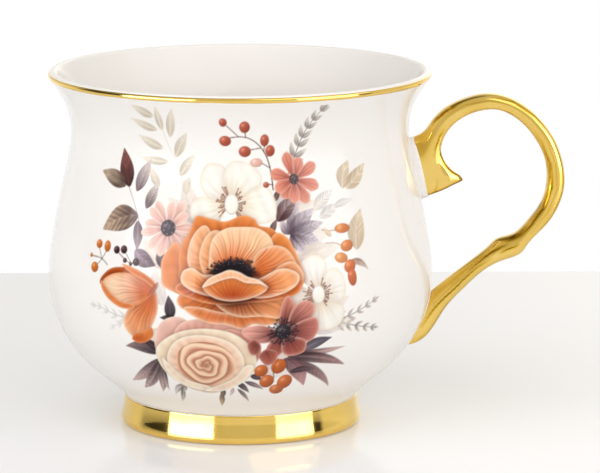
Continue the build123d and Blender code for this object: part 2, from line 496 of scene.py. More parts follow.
def slip_pad():
    """The white slip between the bowl and the handle's upper root, squeezed out most at its lower end."""
    outer_x, outer_z, inner_x, inner_z, half_width, _ = SCROLL[0]
    outer, inner = np.array([outer_x, 0, outer_z]), np.array([inner_x, 0, inner_z])
    reach = (outer - inner) / 2
    length = np.linalg.norm(reach)
    slope = math.atan2(inner_x - outer_x, outer_z - inner_z)
    ahead = np.array([math.cos(slope), 0, math.sin(slope)])
    count = ROOT_SLIP_POINTS
    vertices, faces = [], []
    for shift, grow in ROOT_SLIP:
        middle = (outer + inner) / 2 + ahead * shift
        side = np.array([0, -(half_width + grow), 0])
        for k in range(count):
            angle = 2 * math.pi * k / count
            ways = math.cos(angle), math.sin(angle)
            a, b = (math.copysign(abs(way) ** ROOT_SLIP_SQUARENESS, way) for way in ways)
            vertices.append(middle + reach * (1 + grow * (0.6 - 0.4 * a) / length) * a + side * b)
    end = (len(ROOT_SLIP) - 1) * count
    for start in range(0, end, count):
        faces += ring_quads(start, start + count, count)
    faces.append(list(range(count))[::-1])
    faces.append([end + k for k in range(count)])
    return new_mesh("upper_slip_joint", vertices, faces)


# The slip round the tail: height up the wall and half width of its rounded outline, from bottom to top.
TAIL_SLIP = [
    (17.9, 0.0), (18.6, 1.5), (20.6, 2.5), (24.0, 3.1), (28.4, 3.25), (31.2, 3.1), (32.6, 2.1), (33.1, 0.0),
]
TAIL_SLIP_RISE = 0.3
TAIL_SLIP_SUNK = 0.4
TAIL_SLIP_ROWS, TAIL_SLIP_COLUMNS = 64, 28
TAIL_SLIP_BLUNT = 1.6


def tail_slip():
    """The white slip round the handle's tail, smoothed on to the bowl's wall as a low closed pad."""
    outline = np.array(TAIL_SLIP)
    wall = outer_wall(steps=1500)
    rows, columns = TAIL_SLIP_ROWS, TAIL_SLIP_COLUMNS
    up = np.linspace(outline[0, 0], outline[-1, 0], rows + 1)
    curve = spline(outline, 400)
    half = np.interp(up, curve[:, 0], np.maximum(curve[:, 1], 0))
    vertices, faces = [], []
    for face in (0, 1):
        for k, z in enumerate(up):
            for j in range(columns + 1):
                share = 2 * j / columns - 1
                edge = max(0.0, 1 - abs(share) ** 4) * min(1.0, half[k] / TAIL_SLIP_BLUNT)
                radius = np.interp(z, wall[:, 1], wall[:, 0])
                lift = TAIL_SLIP_RISE * math.sqrt(edge) if face else -TAIL_SLIP_SUNK
                turn = share * half[k] / radius
                vertices.append(((radius + lift) * math.cos(turn), -(radius + lift) * math.sin(turn), z))
    size = (rows + 1) * (columns + 1)
    for k in range(rows):
        for j in range(columns):
            a = k * (columns + 1) + j
            quad = [a, a + 1, a + columns + 2, a + columns + 1]
            faces.append(quad)
            faces.append([size + corner for corner in quad[::-1]])
    rim = list(range(columns + 1))
    rim += [k * (columns + 1) + columns for k in range(1, rows + 1)]
    rim += [rows * (columns + 1) + j for j in range(columns - 1, -1, -1)]
    rim += [k * (columns + 1) for k in range(rows - 1, 0, -1)]
    for one, other in zip(rim, rim[1:] + rim[:1]):
        faces.append([other, one, size + one, size + other])
    pad = new_mesh("lower_slip_joint", vertices, faces)
    weld(pad)
    return pad


def weld(obj):
    """Joins points that meet, and turns every face outwards."""
    work = bmesh.new()
    work.from_mesh(obj.data)
    bmesh.ops.remove_doubles(work, verts=work.verts, dist=1e-6)
    bmesh.ops.dissolve_degenerate(work, edges=work.edges, dist=1e-7)
    bmesh.ops.recalc_face_normals(work, faces=work.faces)
    work.to_mesh(obj.data)
    work.free()
    for polygon in obj.data.polygons:
        polygon.use_smooth = True


# ---------------------------------------------------------------- the painted bouquet

# The print is painted flat, in millimetres: u runs round the cup from its front middle, and v is the height.
SHEET_LEFT, SHEET_RIGHT, SHEET_LOW, SHEET_HIGH = -42.0, 37.0, 9.0, 86.5
SHEET_STEP = 0.2
SHEET_RADIUS = 46.0
SHEET_SUNK, SHEET_RISE = 0.02, 0.06
PAINTED_FROM, MARGIN_CELLS, EDGE_ROUNDS = 0.004, 6, 5
BODY_SEEN = (243, 239, 234)
FIRED_DEPTH = 1.3


def linear(colour):
    """Linear light of a colour given as red, green and blue from 0 to 255."""
    share = np.asarray(colour, float) / 255
    return np.where(share > 0.04045, ((share + 0.055) / 1.055) ** 2.4, share / 12.92)


def ink(red, green, blue):
    """What an ink lets through: its colour as it looks on the cup, over the bare body's."""
    return np.minimum(linear((red, green, blue)) / linear(BODY_SEEN), 1.0)


TERRACOTTA = ink(196, 112, 88)
BLUSH = ink(240, 208, 194)
PALE_CREAM = ink(249, 243, 231)
PEACH = ink(240, 192, 154)
PALE_PEACH = ink(248, 218, 192)
ORANGE = ink(220, 138, 66)
DEEP_ORANGE = ink(198, 104, 34)
RUST = ink(146, 74, 34)
PLUM = ink(84, 48, 50)
MAUVE = ink(150, 116, 116)
LILAC = ink(200, 178, 176)
SLATE = ink(88, 74, 82)
NIGHT = ink(44, 34, 44)
BROWN = ink(118, 90, 76)
BEIGE = ink(214, 200, 178)
WHITE_PETAL = ink(250, 247, 242)


def smooth_step(value, low, high):
    """A soft step from 0 to 1 between two values."""
    share = np.clip((value - low) / (high - low), 0, 1)
    return share * share * (3 - 2 * share)


def blend(one, other, share):
    """Two colours mixed by a share, which may be a field."""
    share = np.asarray(share)[..., None]
    return one * (1 - share) + other * share


def closed_curve(points, steps=9):
    """A smooth closed curve through some points."""
    pts = np.asarray(points, float)
    before, after, beyond = np.roll(pts, 1, 0), np.roll(pts, -1, 0), np.roll(pts, -2, 0)
    t = np.linspace(0, 1, steps, endpoint=False)[None, :, None]
    a, b, c, d = before[:, None], pts[:, None], after[:, None], beyond[:, None]
    curve = b + 0.5 * t * (c - a + t * (2 * a - 5 * b + 4 * c - d + t * (3 * (b - c) + d - a)))
    return curve.reshape(-1, 2)


def ripple(field, waves, seed):
    """A smooth random wave along a field, between about -1 and 1: the streaks of a brush."""
    rng = np.random.default_rng(seed)
    total = 0
    for _ in range(5):
        total = total + np.sin(field * waves * rng.uniform(0.45, 1.7) + rng.uniform(0, 6.3))
    return total / 3


class Painting:
    """A sheet of transparent inks on white, painted petal by petal from the back to the front."""

    def __init__(self):
        across = np.arange(SHEET_LEFT, SHEET_RIGHT, SHEET_STEP)
        up = np.arange(SHEET_LOW, SHEET_HIGH, SHEET_STEP)
        self.u, self.v = np.meshgrid(across, up)
        self.ink = np.ones(self.u.shape + (3,))
        self.covered = np.zeros(self.u.shape)
        self.seed = 0

    def window(self, points, margin):
        """The part of the sheet round some points."""
        pts = np.asarray(points)
        low, high = pts.min(0) - margin, pts.max(0) + margin
        i0, i1 = (int(max(0, (edge - SHEET_LEFT) / SHEET_STEP)) for edge in (low[0], high[0] + SHEET_STEP))
        j0, j1 = (int(max(0, (edge - SHEET_LOW) / SHEET_STEP)) for edge in (low[1], high[1] + SHEET_STEP))
        return slice(j0, j1 + 1), slice(i0, i1 + 1)

    def distance(self, box, line, closed):
        """Distance to a line of points; inside a closed line it's positive, and outside negative."""
        u, v = self.u[box], self.v[box]
        nearest = np.full(u.shape, 1e9)
        inside = np.zeros(u.shape, bool)
        ends = np.roll(line, -1, 0) if closed else line[1:]
        for (x0, y0), (x1, y1) in zip(line, ends):
            dx, dy = x1 - x0, y1 - y0
            t = np.clip(((u - x0) * dx + (v - y0) * dy) / (dx * dx + dy * dy + 1e-12), 0, 1)
            nearest = np.minimum(nearest, (u - x0 - t * dx) ** 2 + (v - y0 - t * dy) ** 2)
            if closed and y0 != y1:
                inside ^= ((v < y0) != (v < y1)) & (u < x0 + (v - y0) * dx / dy)
        nearest = np.sqrt(nearest)
        return np.where(inside, nearest, -nearest) if closed else nearest

    def lay(self, box, colour, cover):
        """Puts a colour over what is there."""
        self.ink[box] = blend(self.ink[box], colour, cover)
        self.covered[box] = 1 - (1 - self.covered[box]) * (1 - cover)

    def shape(self, points, base, inner, outer, rim=None, rim_width=0.45, streak=0.16, waves=26, fade=1.0,
              shadow=0.35, soft=0.16, cover=1.0, dark=None, dark_reach=0.0):
        """A petal. Its colour runs from `inner` at the base to `outer` at its far edge, with streaks that fan
        from the base, a pale rim, a dark foot and, beside it, a shadow on what lies behind."""
        self.seed += 1
        line = closed_curve(points)
        box = self.window(line, 1.6)
        depth = self.distance(box, line, True)
        du, dv = self.u[box] - base[0], self.v[box] - base[1]
        reach = np.hypot(du, dv)
        longest = np.hypot(*(line - base).T).max()
        along = reach / longest
        angle = np.arctan2(dv, du)
        lines = ripple(angle + 0.02 * np.sin(reach), waves, self.seed)
        colour = blend(inner, outer, smooth_step(along + 0.06 * lines, 0.12, fade))
        colour = colour * (1 + streak * lines * smooth_step(along, 0.05, 0.5) * (1.25 - along))[..., None]
        if dark is not None:
            colour = blend(colour, dark, np.clip(1 - (reach + 0.5 * lines) / dark_reach, 0, 1) ** 1.3)
        if rim is not None:
            colour = blend(colour, rim, np.exp(-np.maximum(depth, 0) / rim_width) * 0.95)
        wash = 1 + 0.035 * ripple(self.u[box] * 1.3 + 0.6 * self.v[box], 1.0, self.seed + 50)
        colour = np.clip(colour * wash[..., None], 0, 1)
        if shadow:
            cast = np.exp(-np.maximum(-depth, 0) / 0.6) * shadow * self.covered[box] ** 2
            self.ink[box] *= 1 - cast[..., None] * (1 - RUST * 0.6 - 0.2)
        self.lay(box, colour, smooth_step(depth, -soft, soft) * cover)

    def whorl(self, centre, size, turns, deep, light, rim):
        """The middle of a rose: one long petal edge after another, winding in to its heart."""
        box = self.window([centre], max(size) + 0.6)
        du, dv = self.u[box] - centre[0], self.v[box] - centre[1]
        reach = np.hypot(du / size[0], dv / size[1])
        angle = np.arctan2(dv / size[1], du / size[0])
        waver = 0.15 * np.sin(3 * angle + 5 * reach) + 0.08 * np.sin(5 * angle - 8 * reach + 1)
        phase = turns * reach**0.85 + angle / (2 * math.pi) + waver
        share = phase - np.floor(phase)
        field = blend(deep, light, smooth_step(share, 0.0, 0.62))
        field = blend(field, rim, np.exp(-(1 - share) / 0.13) * 0.9)
        steep = np.hypot(*np.gradient(turns * reach**0.85)) + 0.02
        field = blend(field, deep, smooth_step(share, 1 - 1.6 * steep, 1.0))
        field = field * (1 + 0.05 * np.cos(angle - math.radians(140)) * reach)[..., None]
        field = blend(field, deep * 0.8, np.exp(-((reach / 0.2) ** 2)) * 0.75)
        grain = ripple(angle * 2 + reach * 3, 9.0, 5)
        field = np.clip(field * (1 + 0.02 * grain)[..., None], 0, 1)
        self.lay(box, field, 1 - smooth_step(reach + 0.02 * waver, 0.95, 1.0))

    def leaf(self, base, tip, width, near, far, bend=0.0, veins=0.15, rib=None, cover=0.95, waist=0.42):
        """A leaf from its stem to its point, with a midrib, slanted veins and a dark or pale half."""
        self.seed += 1
        base, tip = np.array(base, float), np.array(tip, float)
        chord = tip - base
        length = np.hypot(*chord)
        ahead, side = chord / length, np.array([-chord[1], chord[0]]) / length
        share = np.linspace(0, 1, 9)
        swell = np.sin(math.pi * share ** (math.log(0.5) / math.log(waist))) ** 0.9
        middle = base + ahead * length * share[:, None] + side * (bend * 4 * share * (1 - share))[:, None]
        edge = side * (width / 2 * swell)[:, None]
        line = closed_curve(np.concatenate([(middle + edge)[:-1], (middle - edge)[:0:-1]]), 5)
        box = self.window(line, 0.6)
        depth = self.distance(box, line, True)
        du, dv = self.u[box] - base[0], self.v[box] - base[1]
        t = (du * ahead[0] + dv * ahead[1]) / length
        off = du * side[0] + dv * side[1] - bend * 4 * t * (1 - t)
        colour = blend(near, far, smooth_step(t + 0.12 * ripple(off, 3.0, self.seed), 0.0, 1.0))
        slant = t * length - np.abs(off) * 1.4
        colour = colour * (1 + veins * ripple(slant, 4.2 / max(0.6, width * 0.32), self.seed + 9))[..., None]
        colour = blend(colour, colour * 0.72, smooth_step(off / width, -0.06, 0.5) * 0.55)
        pale = np.minimum(colour * 1.5 + 0.08, 1) if rib is None else rib
        colour = blend(colour, pale, np.exp(-((off / 0.17) ** 2)) * (1 - t) * 0.7)
        self.lay(box, np.clip(colour, 0, 1), smooth_step(depth, -0.14, 0.18) * cover)

    def stroke(self, points, width, colour, cover=0.9, end_width=None):
        """A stem: a smooth line that thins towards its end."""
        line = spline(points, 6 * len(points)) if len(points) > 2 else np.array(points, float)
        box = self.window(line, width + 0.5)
        gap = self.distance(box, line, False)
        if end_width is not None:
            first, last = line[0], line[-1]
            run = (last - first) / np.dot(last - first, last - first)
            t = np.clip((self.u[box] - first[0]) * run[0] + (self.v[box] - first[1]) * run[1], 0, 1)
            width = width * (1 - t) + end_width * t
        self.lay(box, colour, (1 - smooth_step(gap, width / 2 - 0.08, width / 2 + 0.12)) * cover)

    def berry(self, centre, size, colour, turn=0.0, shade=0.5, cover=1.0):
        """A round or oval berry, lit from the upper left, with a dark end."""
        across, up = size if isinstance(size, tuple) else (size, size)
        box = self.window([centre], max(across, up) + 0.6)
        du, dv = self.u[box] - centre[0], self.v[box] - centre[1]
        c, s = math.cos(math.radians(turn)), math.sin(math.radians(turn))
        a, b = (du * c + dv * s) / across, (-du * s + dv * c) / up
        reach = np.hypot(a, b)
        light = np.clip(0.55 + 0.45 * (-0.6 * du + 0.75 * dv) / max(across, up), 0, 1.1)
        field = blend(colour * (1 - shade), np.minimum(colour * 1.12 + 0.05, 1), light)
        field = blend(field, colour * 0.55, smooth_step(reach, 0.72, 1.0) * 0.5)
        glint = np.exp(-((du + 0.35 * across) ** 2 + (dv - 0.35 * up) ** 2) / (0.3 * across) ** 2)
        field = blend(field, np.minimum(colour * 1.5 + 0.3, 1), glint * 0.55)
        mask = 1 - smooth_step(reach * min(across, up), min(across, up) - 0.14, min(across, up) + 0.14)
        self.lay(box, field, mask * cover)

    def stamens(self, centre, first, last, spread, count, colour, lean=1.0, dot=0.16):
        """Fine hairs round a flower's middle, each with a dark tip. `lean` squashes them upright."""
        rng = np.random.default_rng(count + int(10 * abs(centre[0])))
        for angle in np.radians(np.linspace(*spread, count)):
            end = last * rng.uniform(0.72, 1.12)
            angle += rng.uniform(-0.05, 0.05)
            ray = np.array([math.cos(angle), math.sin(angle) * lean])
            tip = centre + ray * end
            self.stroke([centre + ray * first, tip], 0.22, colour, 0.75)
            self.berry(tip, dot + rng.uniform(0, 0.08), colour, shade=0.2)

    def blossom(self, centre, petals, inner, outer, width, rim=None, dark=None, dark_reach=2.5, **more):
        """An open flower. `petals` holds each petal's direction in degrees and its length."""
        for turn, length in petals:
            ahead = np.array([math.cos(math.radians(turn)), math.sin(math.radians(turn))])
            side = np.array([-ahead[1], ahead[0]]) * width / 2
            outline = [
                centre + ahead * 0.2,
                centre + ahead * length * 0.42 + side * 0.72,
                centre + ahead * length * 0.78 + side,
                centre + ahead * length * 0.97 + side * 0.45,
                centre + ahead * length - side * 0.1,
                centre + ahead * length * 0.93 - side * 0.6,
                centre + ahead * length * 0.72 - side,
                centre + ahead * length * 0.4 - side * 0.7,
            ]
            self.shape(outline, centre, inner, outer, rim, 0.3, dark=dark, dark_reach=dark_reach, **more)

    def seed_head(self, centre, radius, colour, lean=1.0):
        """A dark, domed and dotted flower middle."""
        self.berry(centre, (radius, radius * lean), colour, shade=0.45)
        rng = np.random.default_rng(int(radius * 100))
        for k in range(26):
            reach, turn = radius * math.sqrt((k + 0.5) / 26) * 0.95, 2.4 * k
            spot = centre + np.array([math.cos(turn), math.sin(turn) * lean]) * reach
            tone = colour * (0.45 if k % 3 else 1.9) + (0.0 if k % 3 else 0.06)
            self.berry(spot, 0.16 + 0.08 * rng.uniform(), np.clip(tone, 0, 1), shade=0.1)

    def sprig(self, points, leaves, size, near, far, cover=0.8, stem=None, spread=42, veins=0.15):
        """A stem with pairs of small leaves along it and one at its tip."""
        line = spline(points, 60)
        if stem is not None:
            self.stroke(points, 0.3, stem, cover, 0.12)
        for k in range(leaves):
            share = (k + 0.6) / leaves
            at = line[int(60 * share)]
            ahead = line[min(60, int(60 * share) + 2)] - line[max(0, int(60 * share) - 2)]
            turn = math.atan2(ahead[1], ahead[0])
            for hand in (-1, 1):
                lean = turn + hand * math.radians(spread * (1.05 - 0.35 * share))
                long = size[0] * (1.0 - 0.45 * share)
                tip = at + np.array([math.cos(lean), math.sin(lean)]) * long
                bend = 0.12 * hand * size[1]
                self.leaf(at, tip, size[1] * (1 - 0.3 * share), near, far, bend, veins, cover=cover)
        ahead = line[-1] - line[-5]
        self.leaf(line[-1] - ahead * 0.3, line[-1] + ahead / np.hypot(*ahead) * size[0] * 0.55, size[1] * 0.7,
                  near, far, cover=cover)


# ---------------------------------------------------------------- what is painted where


def faded_leaves(art):
    """The pale leaves and grasses behind the flowers, top and sides."""
    for base, tip, width in (
        ((-22.2, 83.2), (-27.5, 85.8), 2.6),
        ((-22.0, 79.7), (-29.2, 82.2), 2.2),
        ((-20.8, 75.2), (-28.0, 78.0), 2.4),
        ((-19.2, 72.0), (-27.6, 72.6), 2.0),
        ((-18.6, 78.0), (-16.6, 85.6), 2.4),
        ((-20.6, 79.6), (-20.8, 86.0), 2.0),
        ((-17.2, 73.2), (-13.8, 79.4), 2.8),
        ((-15.8, 68.8), (-12.0, 74.0), 2.6),
        ((-21.4, 66.0), (-24.4, 70.6), 2.4),
        ((-14.0, 64.5), (-13.2, 69.0), 2.2),
    ):
        art.leaf(base, tip, width, BEIGE * 0.86, ink(230, 220, 202), 0.25, 0.08, cover=0.78)
    art.stroke([(-13.5, 63), (-16.5, 71), (-19.8, 77.5), (-20.6, 82.5)], 0.24, BEIGE, 0.4)
    art.sprig([(12.6, 69.5), (15.2, 75.5), (17.4, 80.5), (20.8, 85.6)], 7, (4.4, 1.5), ink(132, 124, 120),
              ink(216, 206, 190), 0.8, ink(140, 128, 122), 38, 0.2)
    for base, tip, width, bend in (
        ((27.6, 65.0), (30.4, 71.4), 4.2, 0.6),
        ((28.6, 65.0), (36.0, 70.2), 3.8, -0.4),
        ((29.6, 50.2), (32.4, 59.6), 5.2, 0.7),
    ):
        art.leaf(base, tip, width, ink(210, 190, 164), ink(228, 212, 188), bend, 0.1, ink(244, 236, 222), 0.9)
    for base, tip, width in (
        ((18.6, 60.6), (24.6, 65.0), 3.2),
        ((20.0, 58.6), (26.2, 61.4), 2.8),
        ((24.4, 61.0), (30.4, 62.2), 1.8),
        ((16.2, 62.2), (18.6, 65.2), 2.4),
        ((13.8, 48.6), (20.0, 51.6), 2.8),
    ):
        art.leaf(base, tip, width, ink(206, 198, 194), ink(230, 225, 218), 0.2, 0.16, cover=0.7)
    art.sprig([(22.0, 33.6), (26.5, 34.6), (31.0, 36.2), (34.2, 37.6)], 5, (3.0, 0.8), ink(150, 138, 136),
              ink(196, 176, 166), 0.75, ink(160, 146, 140), 34)
    art.sprig([(22.0, 33.4), (26.0, 32.6), (30.5, 31.4), (34.6, 30.6)], 5, (3.4, 0.9), ink(104, 94, 94),
              ink(200, 186, 160), 0.75, ink(130, 118, 112), 36)
    art.sprig([(-27.0, 34.0), (-31.5, 34.4), (-36.0, 35.6), (-38.6, 35.8)], 5, (3.0, 0.8), ink(186, 184, 184),
              ink(224, 220, 216), 0.6, ink(180, 176, 176), 34)
    art.sprig([(-25.5, 33.0), (-30.0, 32.4), (-33.0, 31.0)], 3, (2.6, 0.7), ink(190, 186, 184),
              ink(226, 222, 216), 0.5, ink(196, 190, 188), 34)


def soft_foliage(art):
    """Blurred warm foliage that fills the gaps between the flowers."""
    warm, cool = ink(222, 204, 188), ink(206, 194, 192)
    for base, tip, width, tone in (
        ((-10.0, 57.0), (-14.6, 68.0), 5.0, warm),
        ((-9.0, 58.0), (-18.6, 63.6), 4.4, cool),
        ((8.6, 60.0), (17.8, 66.8), 5.2, cool),
        ((9.4, 57.0), (21.8, 62.8), 5.0, warm),
        ((12.0, 52.0), (22.4, 55.6), 5.6, cool),
        ((12.8, 49.0), (24.6, 51.4), 5.0, warm),
        ((14.6, 44.0), (12.2, 53.8), 4.6, cool),
        ((16.0, 34.0), (26.6, 39.4), 4.6, warm),
        ((17.0, 31.6), (27.8, 33.2), 4.2, cool),
        ((-17.0, 47.0), (-24.6, 53.6), 4.6, warm),
        ((-18.4, 38.0), (-20.6, 47.0), 4.2, cool),
        ((-18.0, 32.0), (-24.8, 28.0), 4.0, warm),
        ((6.0, 24.0), (17.2, 28.8), 5.2, warm),
        ((4.0, 22.0), (13.0, 20.4), 4.6, cool),
    ):
        art.leaf(base, tip, width, tone, ink(236, 226, 214), 0.4, 0.05, cover=0.62)


def left_leaves(art):
    """The dark twig at the upper left and the leaves round the pink daisy."""
    art.stroke([(-25.8, 56.5), (-27.4, 60.0), (-29.0, 62.8), (-31.0, 65.8)], 0.24, LILAC, 0.8)
    art.leaf((-30.4, 65.2), (-33.3, 74.3), 4.7, PLUM * 0.75, ink(150, 92, 84), 0.35, 0.2, ink(120, 76, 76))
    art.leaf((-31.6, 65.4), (-41.0, 68.0), 4.0, ink(104, 84, 74), ink(190, 170, 148), -0.3, 0.16)
    art.leaf((-28.0, 64.4), (-24.4, 72.2), 3.5, ink(120, 100, 104), ink(214, 200, 194), 0.2, 0.14)
    art.leaf((-24.6, 60.6), (-21.6, 67.0), 2.9, ink(126, 108, 110), ink(226, 214, 208), 0.1, 0.14)
    art.leaf((-26.6, 58.9), (-37.4, 54.4), 6.2, ink(118, 96, 88), ink(196, 172, 150), -0.9, 0.2)
    art.leaf((-26.6, 57.6), (-26.0, 50.6), 2.9, ink(128, 110, 116), ink(176, 160, 162), 0.2, 0.14)
    art.leaf((-26.6, 50.6), (-20.6, 47.4), 4.0, ink(168, 150, 160), ink(120, 98, 106), -0.5, 0.18)
    art.leaf((-19.0, 47.0), (-19.6, 52.2), 2.4, ink(94, 78, 86), ink(150, 134, 138), 0.2, 0.14)
    art.leaf((-16.6, 34.6), (-17.0, 40.6), 2.8, NIGHT * 1.2, ink(96, 76, 84), -0.2, 0.2)
    art.leaf((-15.4, 35.4), (-19.2, 35.0), 1.6, NIGHT * 1.3, SLATE, 0.1, 0.2)
    art.stroke([(-24.6, 48.4), (-27.2, 47.4), (-29.6, 48.4), (-31.4, 49.6)], 0.26, MAUVE, 0.8)
    art.stroke([(-27.2, 47.4), (-29.4, 50.0)], 0.22, MAUVE, 0.8)
    for centre, radius in (((-31.9, 50.1), 0.95), ((-29.7, 50.4), 1.0), ((-29.1, 47.9), 0.62),
                           ((-25.9, 47.8), 0.95), ((-27.4, 47.2), 0.5)):
        art.berry(centre, radius, PLUM * 1.1, shade=0.5)
    art.stroke([(-34.4, 46.2), (-36.4, 47.4), (-40.0, 47.7)], 0.24, BROWN, 0.7)
    for end in ((-37.7, 49.8), (-35.1, 49.6), (-38.0, 45.6)):
        art.stroke([(-36.4, 47.4), end], 0.2, BROWN, 0.7)
    for centre, size in (((-37.9, 50.8), 1.05), ((-35.0, 50.6), (1.05, 1.35)), ((-38.6, 45.1), 1.25),
                         ((-40.3, 47.8), 0.5)):
        art.berry(centre, size, ORANGE * [0.95, 0.9, 0.8], shade=0.4)


def top_berries(art):
    """A twig of red-brown berries that arches over the cream anemone."""
    twig = ink(128, 88, 78)
    art.stroke([(8.4, 65.8), (7.9, 70.2), (6.6, 74.2), (3.9, 77.3), (0.8, 78.6), (-2.6, 78.4)], 0.34, twig,
               0.9, 0.22)
    for start, end in (((-0.4, 78.6), (-3.4, 81.4)), ((1.4, 78.5), (1.2, 80.0)), ((5.2, 75.8), (2.6, 75.4)),
                       ((6.2, 74.8), (6.3, 76.6)), ((6.9, 73.6), (7.6, 74.2)), ((7.7, 71.0), (5.2, 72.4)),
                       ((8.2, 67.0), (6.8, 67.2))):
        art.stroke([start, end], 0.24, twig, 0.8)
    for centre, size in (((-4.3, 82.3), (1.0, 1.1)), ((1.1, 81.1), (1.35, 1.5)), ((-3.9, 77.6), (1.55, 1.3)),
                         ((1.2, 75.0), (1.6, 1.35)), ((6.3, 77.7), (1.15, 1.5)), ((7.8, 75.1), (1.25, 1.4))):
        art.berry(centre, size, TERRACOTTA * [1.02, 0.92, 0.86], shade=0.5)
    art.berry((4.2, 72.3), (1.6, 1.05), ink(232, 188, 172), shade=0.25)
    art.berry((6.6, 67.0), (0.8, 0.7), TERRACOTTA, shade=0.4)


def lilac_star(art):
    """Lilac leaves and a dark plum leaf at the poppy's upper right."""
    heart = (12.2, 55.2)
    for tip, width in (((14.6, 62.4), 3.2), ((18.6, 61.0), 4.0), ((21.0, 57.6), 3.4), ((19.2, 53.4), 4.2),
                       ((15.6, 50.8), 3.4), ((10.0, 58.6), 2.4)):
        art.leaf(heart, tip, width, ink(112, 92, 104), ink(214, 202, 206), 0.2, 0.16, ink(90, 72, 84), 0.92)
    art.leaf((9.0, 58.4), (14.6, 64.4), 4.0, PLUM, ink(190, 168, 168), 0.3, 0.3)
    art.leaf((8.6, 63.0), (10.2, 66.2), 1.5, ink(120, 90, 86), BROWN, 0.1, 0.2)
    art.leaf((7.4, 55.6), (9.0, 59.0), 1.6, ink(110, 92, 92), MAUVE, 0.1, 0.2)


def anemone(art, centre, petals, eye, tilt):
    """A pale anemone: broad white petals, brown stamens on both sides of a pale cone."""
    for outline, tone in petals:
        art.shape(outline, centre, tone * 0.975, PALE_CREAM * 0.985, ink(232, 220, 200), 0.4, 0.05, 18,
                  shadow=0.16, soft=0.3, dark=ink(218, 194, 168), dark_reach=6.5)
    art.stamens(np.array(centre), eye[0], eye[0] * 2.15, (112 + tilt, 222 + tilt), 15, ink(150, 96, 76),
                1.15, 0.13)
    art.stamens(np.array(centre), eye[0], eye[0] * 1.95, (-58 + tilt, 62 + tilt), 15, ink(138, 84, 68), 1.2,
                0.13)
    art.berry(centre, eye, ink(250, 240, 224), shade=0.05)


def pale_flowers(art):
    """The cream anemone above the poppy and the white one to its right."""
    anemone(art, (-2.2, 62.6), [
        ([(-4, 62), (-8.6, 64.4), (-10.4, 68.4), (-8.6, 71.8), (-4.6, 71.6), (-2.4, 68)], PALE_CREAM),
        ([(-1.5, 64), (-4.4, 69.0), (-2.0, 72.6), (3.0, 71.8), (5.6, 68.6), (3.4, 64.4)], ink(248, 240, 226)),
        ([(-1, 61), (3.2, 66.2), (7.2, 66.2), (9.0, 62.4), (8.0, 58.6), (2, 58)], ink(247, 238, 222)),
        ([(-4, 62), (-9.4, 64.2), (-12.4, 62.4), (-12.0, 59.0), (-6, 57.8)], ink(247, 239, 225)),
    ], (1.75, 2.5), 0)
    anemone(art, (18.4, 40.6), [
        ([(18, 42), (14.6, 44.0), (14.0, 48.0), (17.4, 50.2), (20.6, 48.4), (20.4, 44)], WHITE_PETAL),
        ([(19, 41), (20.4, 45.6), (23.6, 46.4), (25.6, 42.8), (24.6, 38.8), (21, 37.6)], ink(247, 242, 234)),
        ([(17, 41), (13.2, 43.0), (10.8, 40.6), (11.8, 36.8), (16, 36)], ink(246, 240, 230)),
        ([(18, 39), (14.4, 37.0), (15.6, 33.4), (20.0, 31.6), (24.4, 33.0), (24.6, 37.4)],
            ink(244, 236, 224)),
    ], (1.6, 2.3), 8)


def pink_daisy(art):
    """The blush daisy with a slate middle, at the poppy's upper left."""
    middle = np.array([-18.0, 56.5])
    rng = np.random.default_rng(11)
    petals = [(turn + rng.uniform(-6, 6), rng.uniform(6.0, 7.8)) for turn in range(8, 368, 27)]
    rng.shuffle(petals)
    art.blossom(middle, petals, ink(214, 168, 160), BLUSH, 2.5, ink(247, 226, 216), ink(168, 120, 120), 3.4,
                shadow=0.12, streak=0.1, waves=40)
    art.seed_head(middle, 1.95, SLATE)


def star_flower(art):
    """The terracotta star flower at the top right."""
    middle = np.array([14.0, 68.1])
    petals = [
        (300, 6.6),
        (232, 5.4),
        (268, 5.6),
        (342, 7.0),
        (28, 7.0),
        (70, 5.4),
        (108, 6.8),
        (164, 6.4),
        (205, 5.6),
    ]
    art.blossom(middle, petals, ink(196, 118, 100), ink(222, 158, 138), 3.1, ink(234, 184, 166),
                ink(136, 70, 66), 3.4, shadow=0.2, streak=0.14, waves=34)
    art.seed_head(middle, 1.25, ink(86, 60, 66))


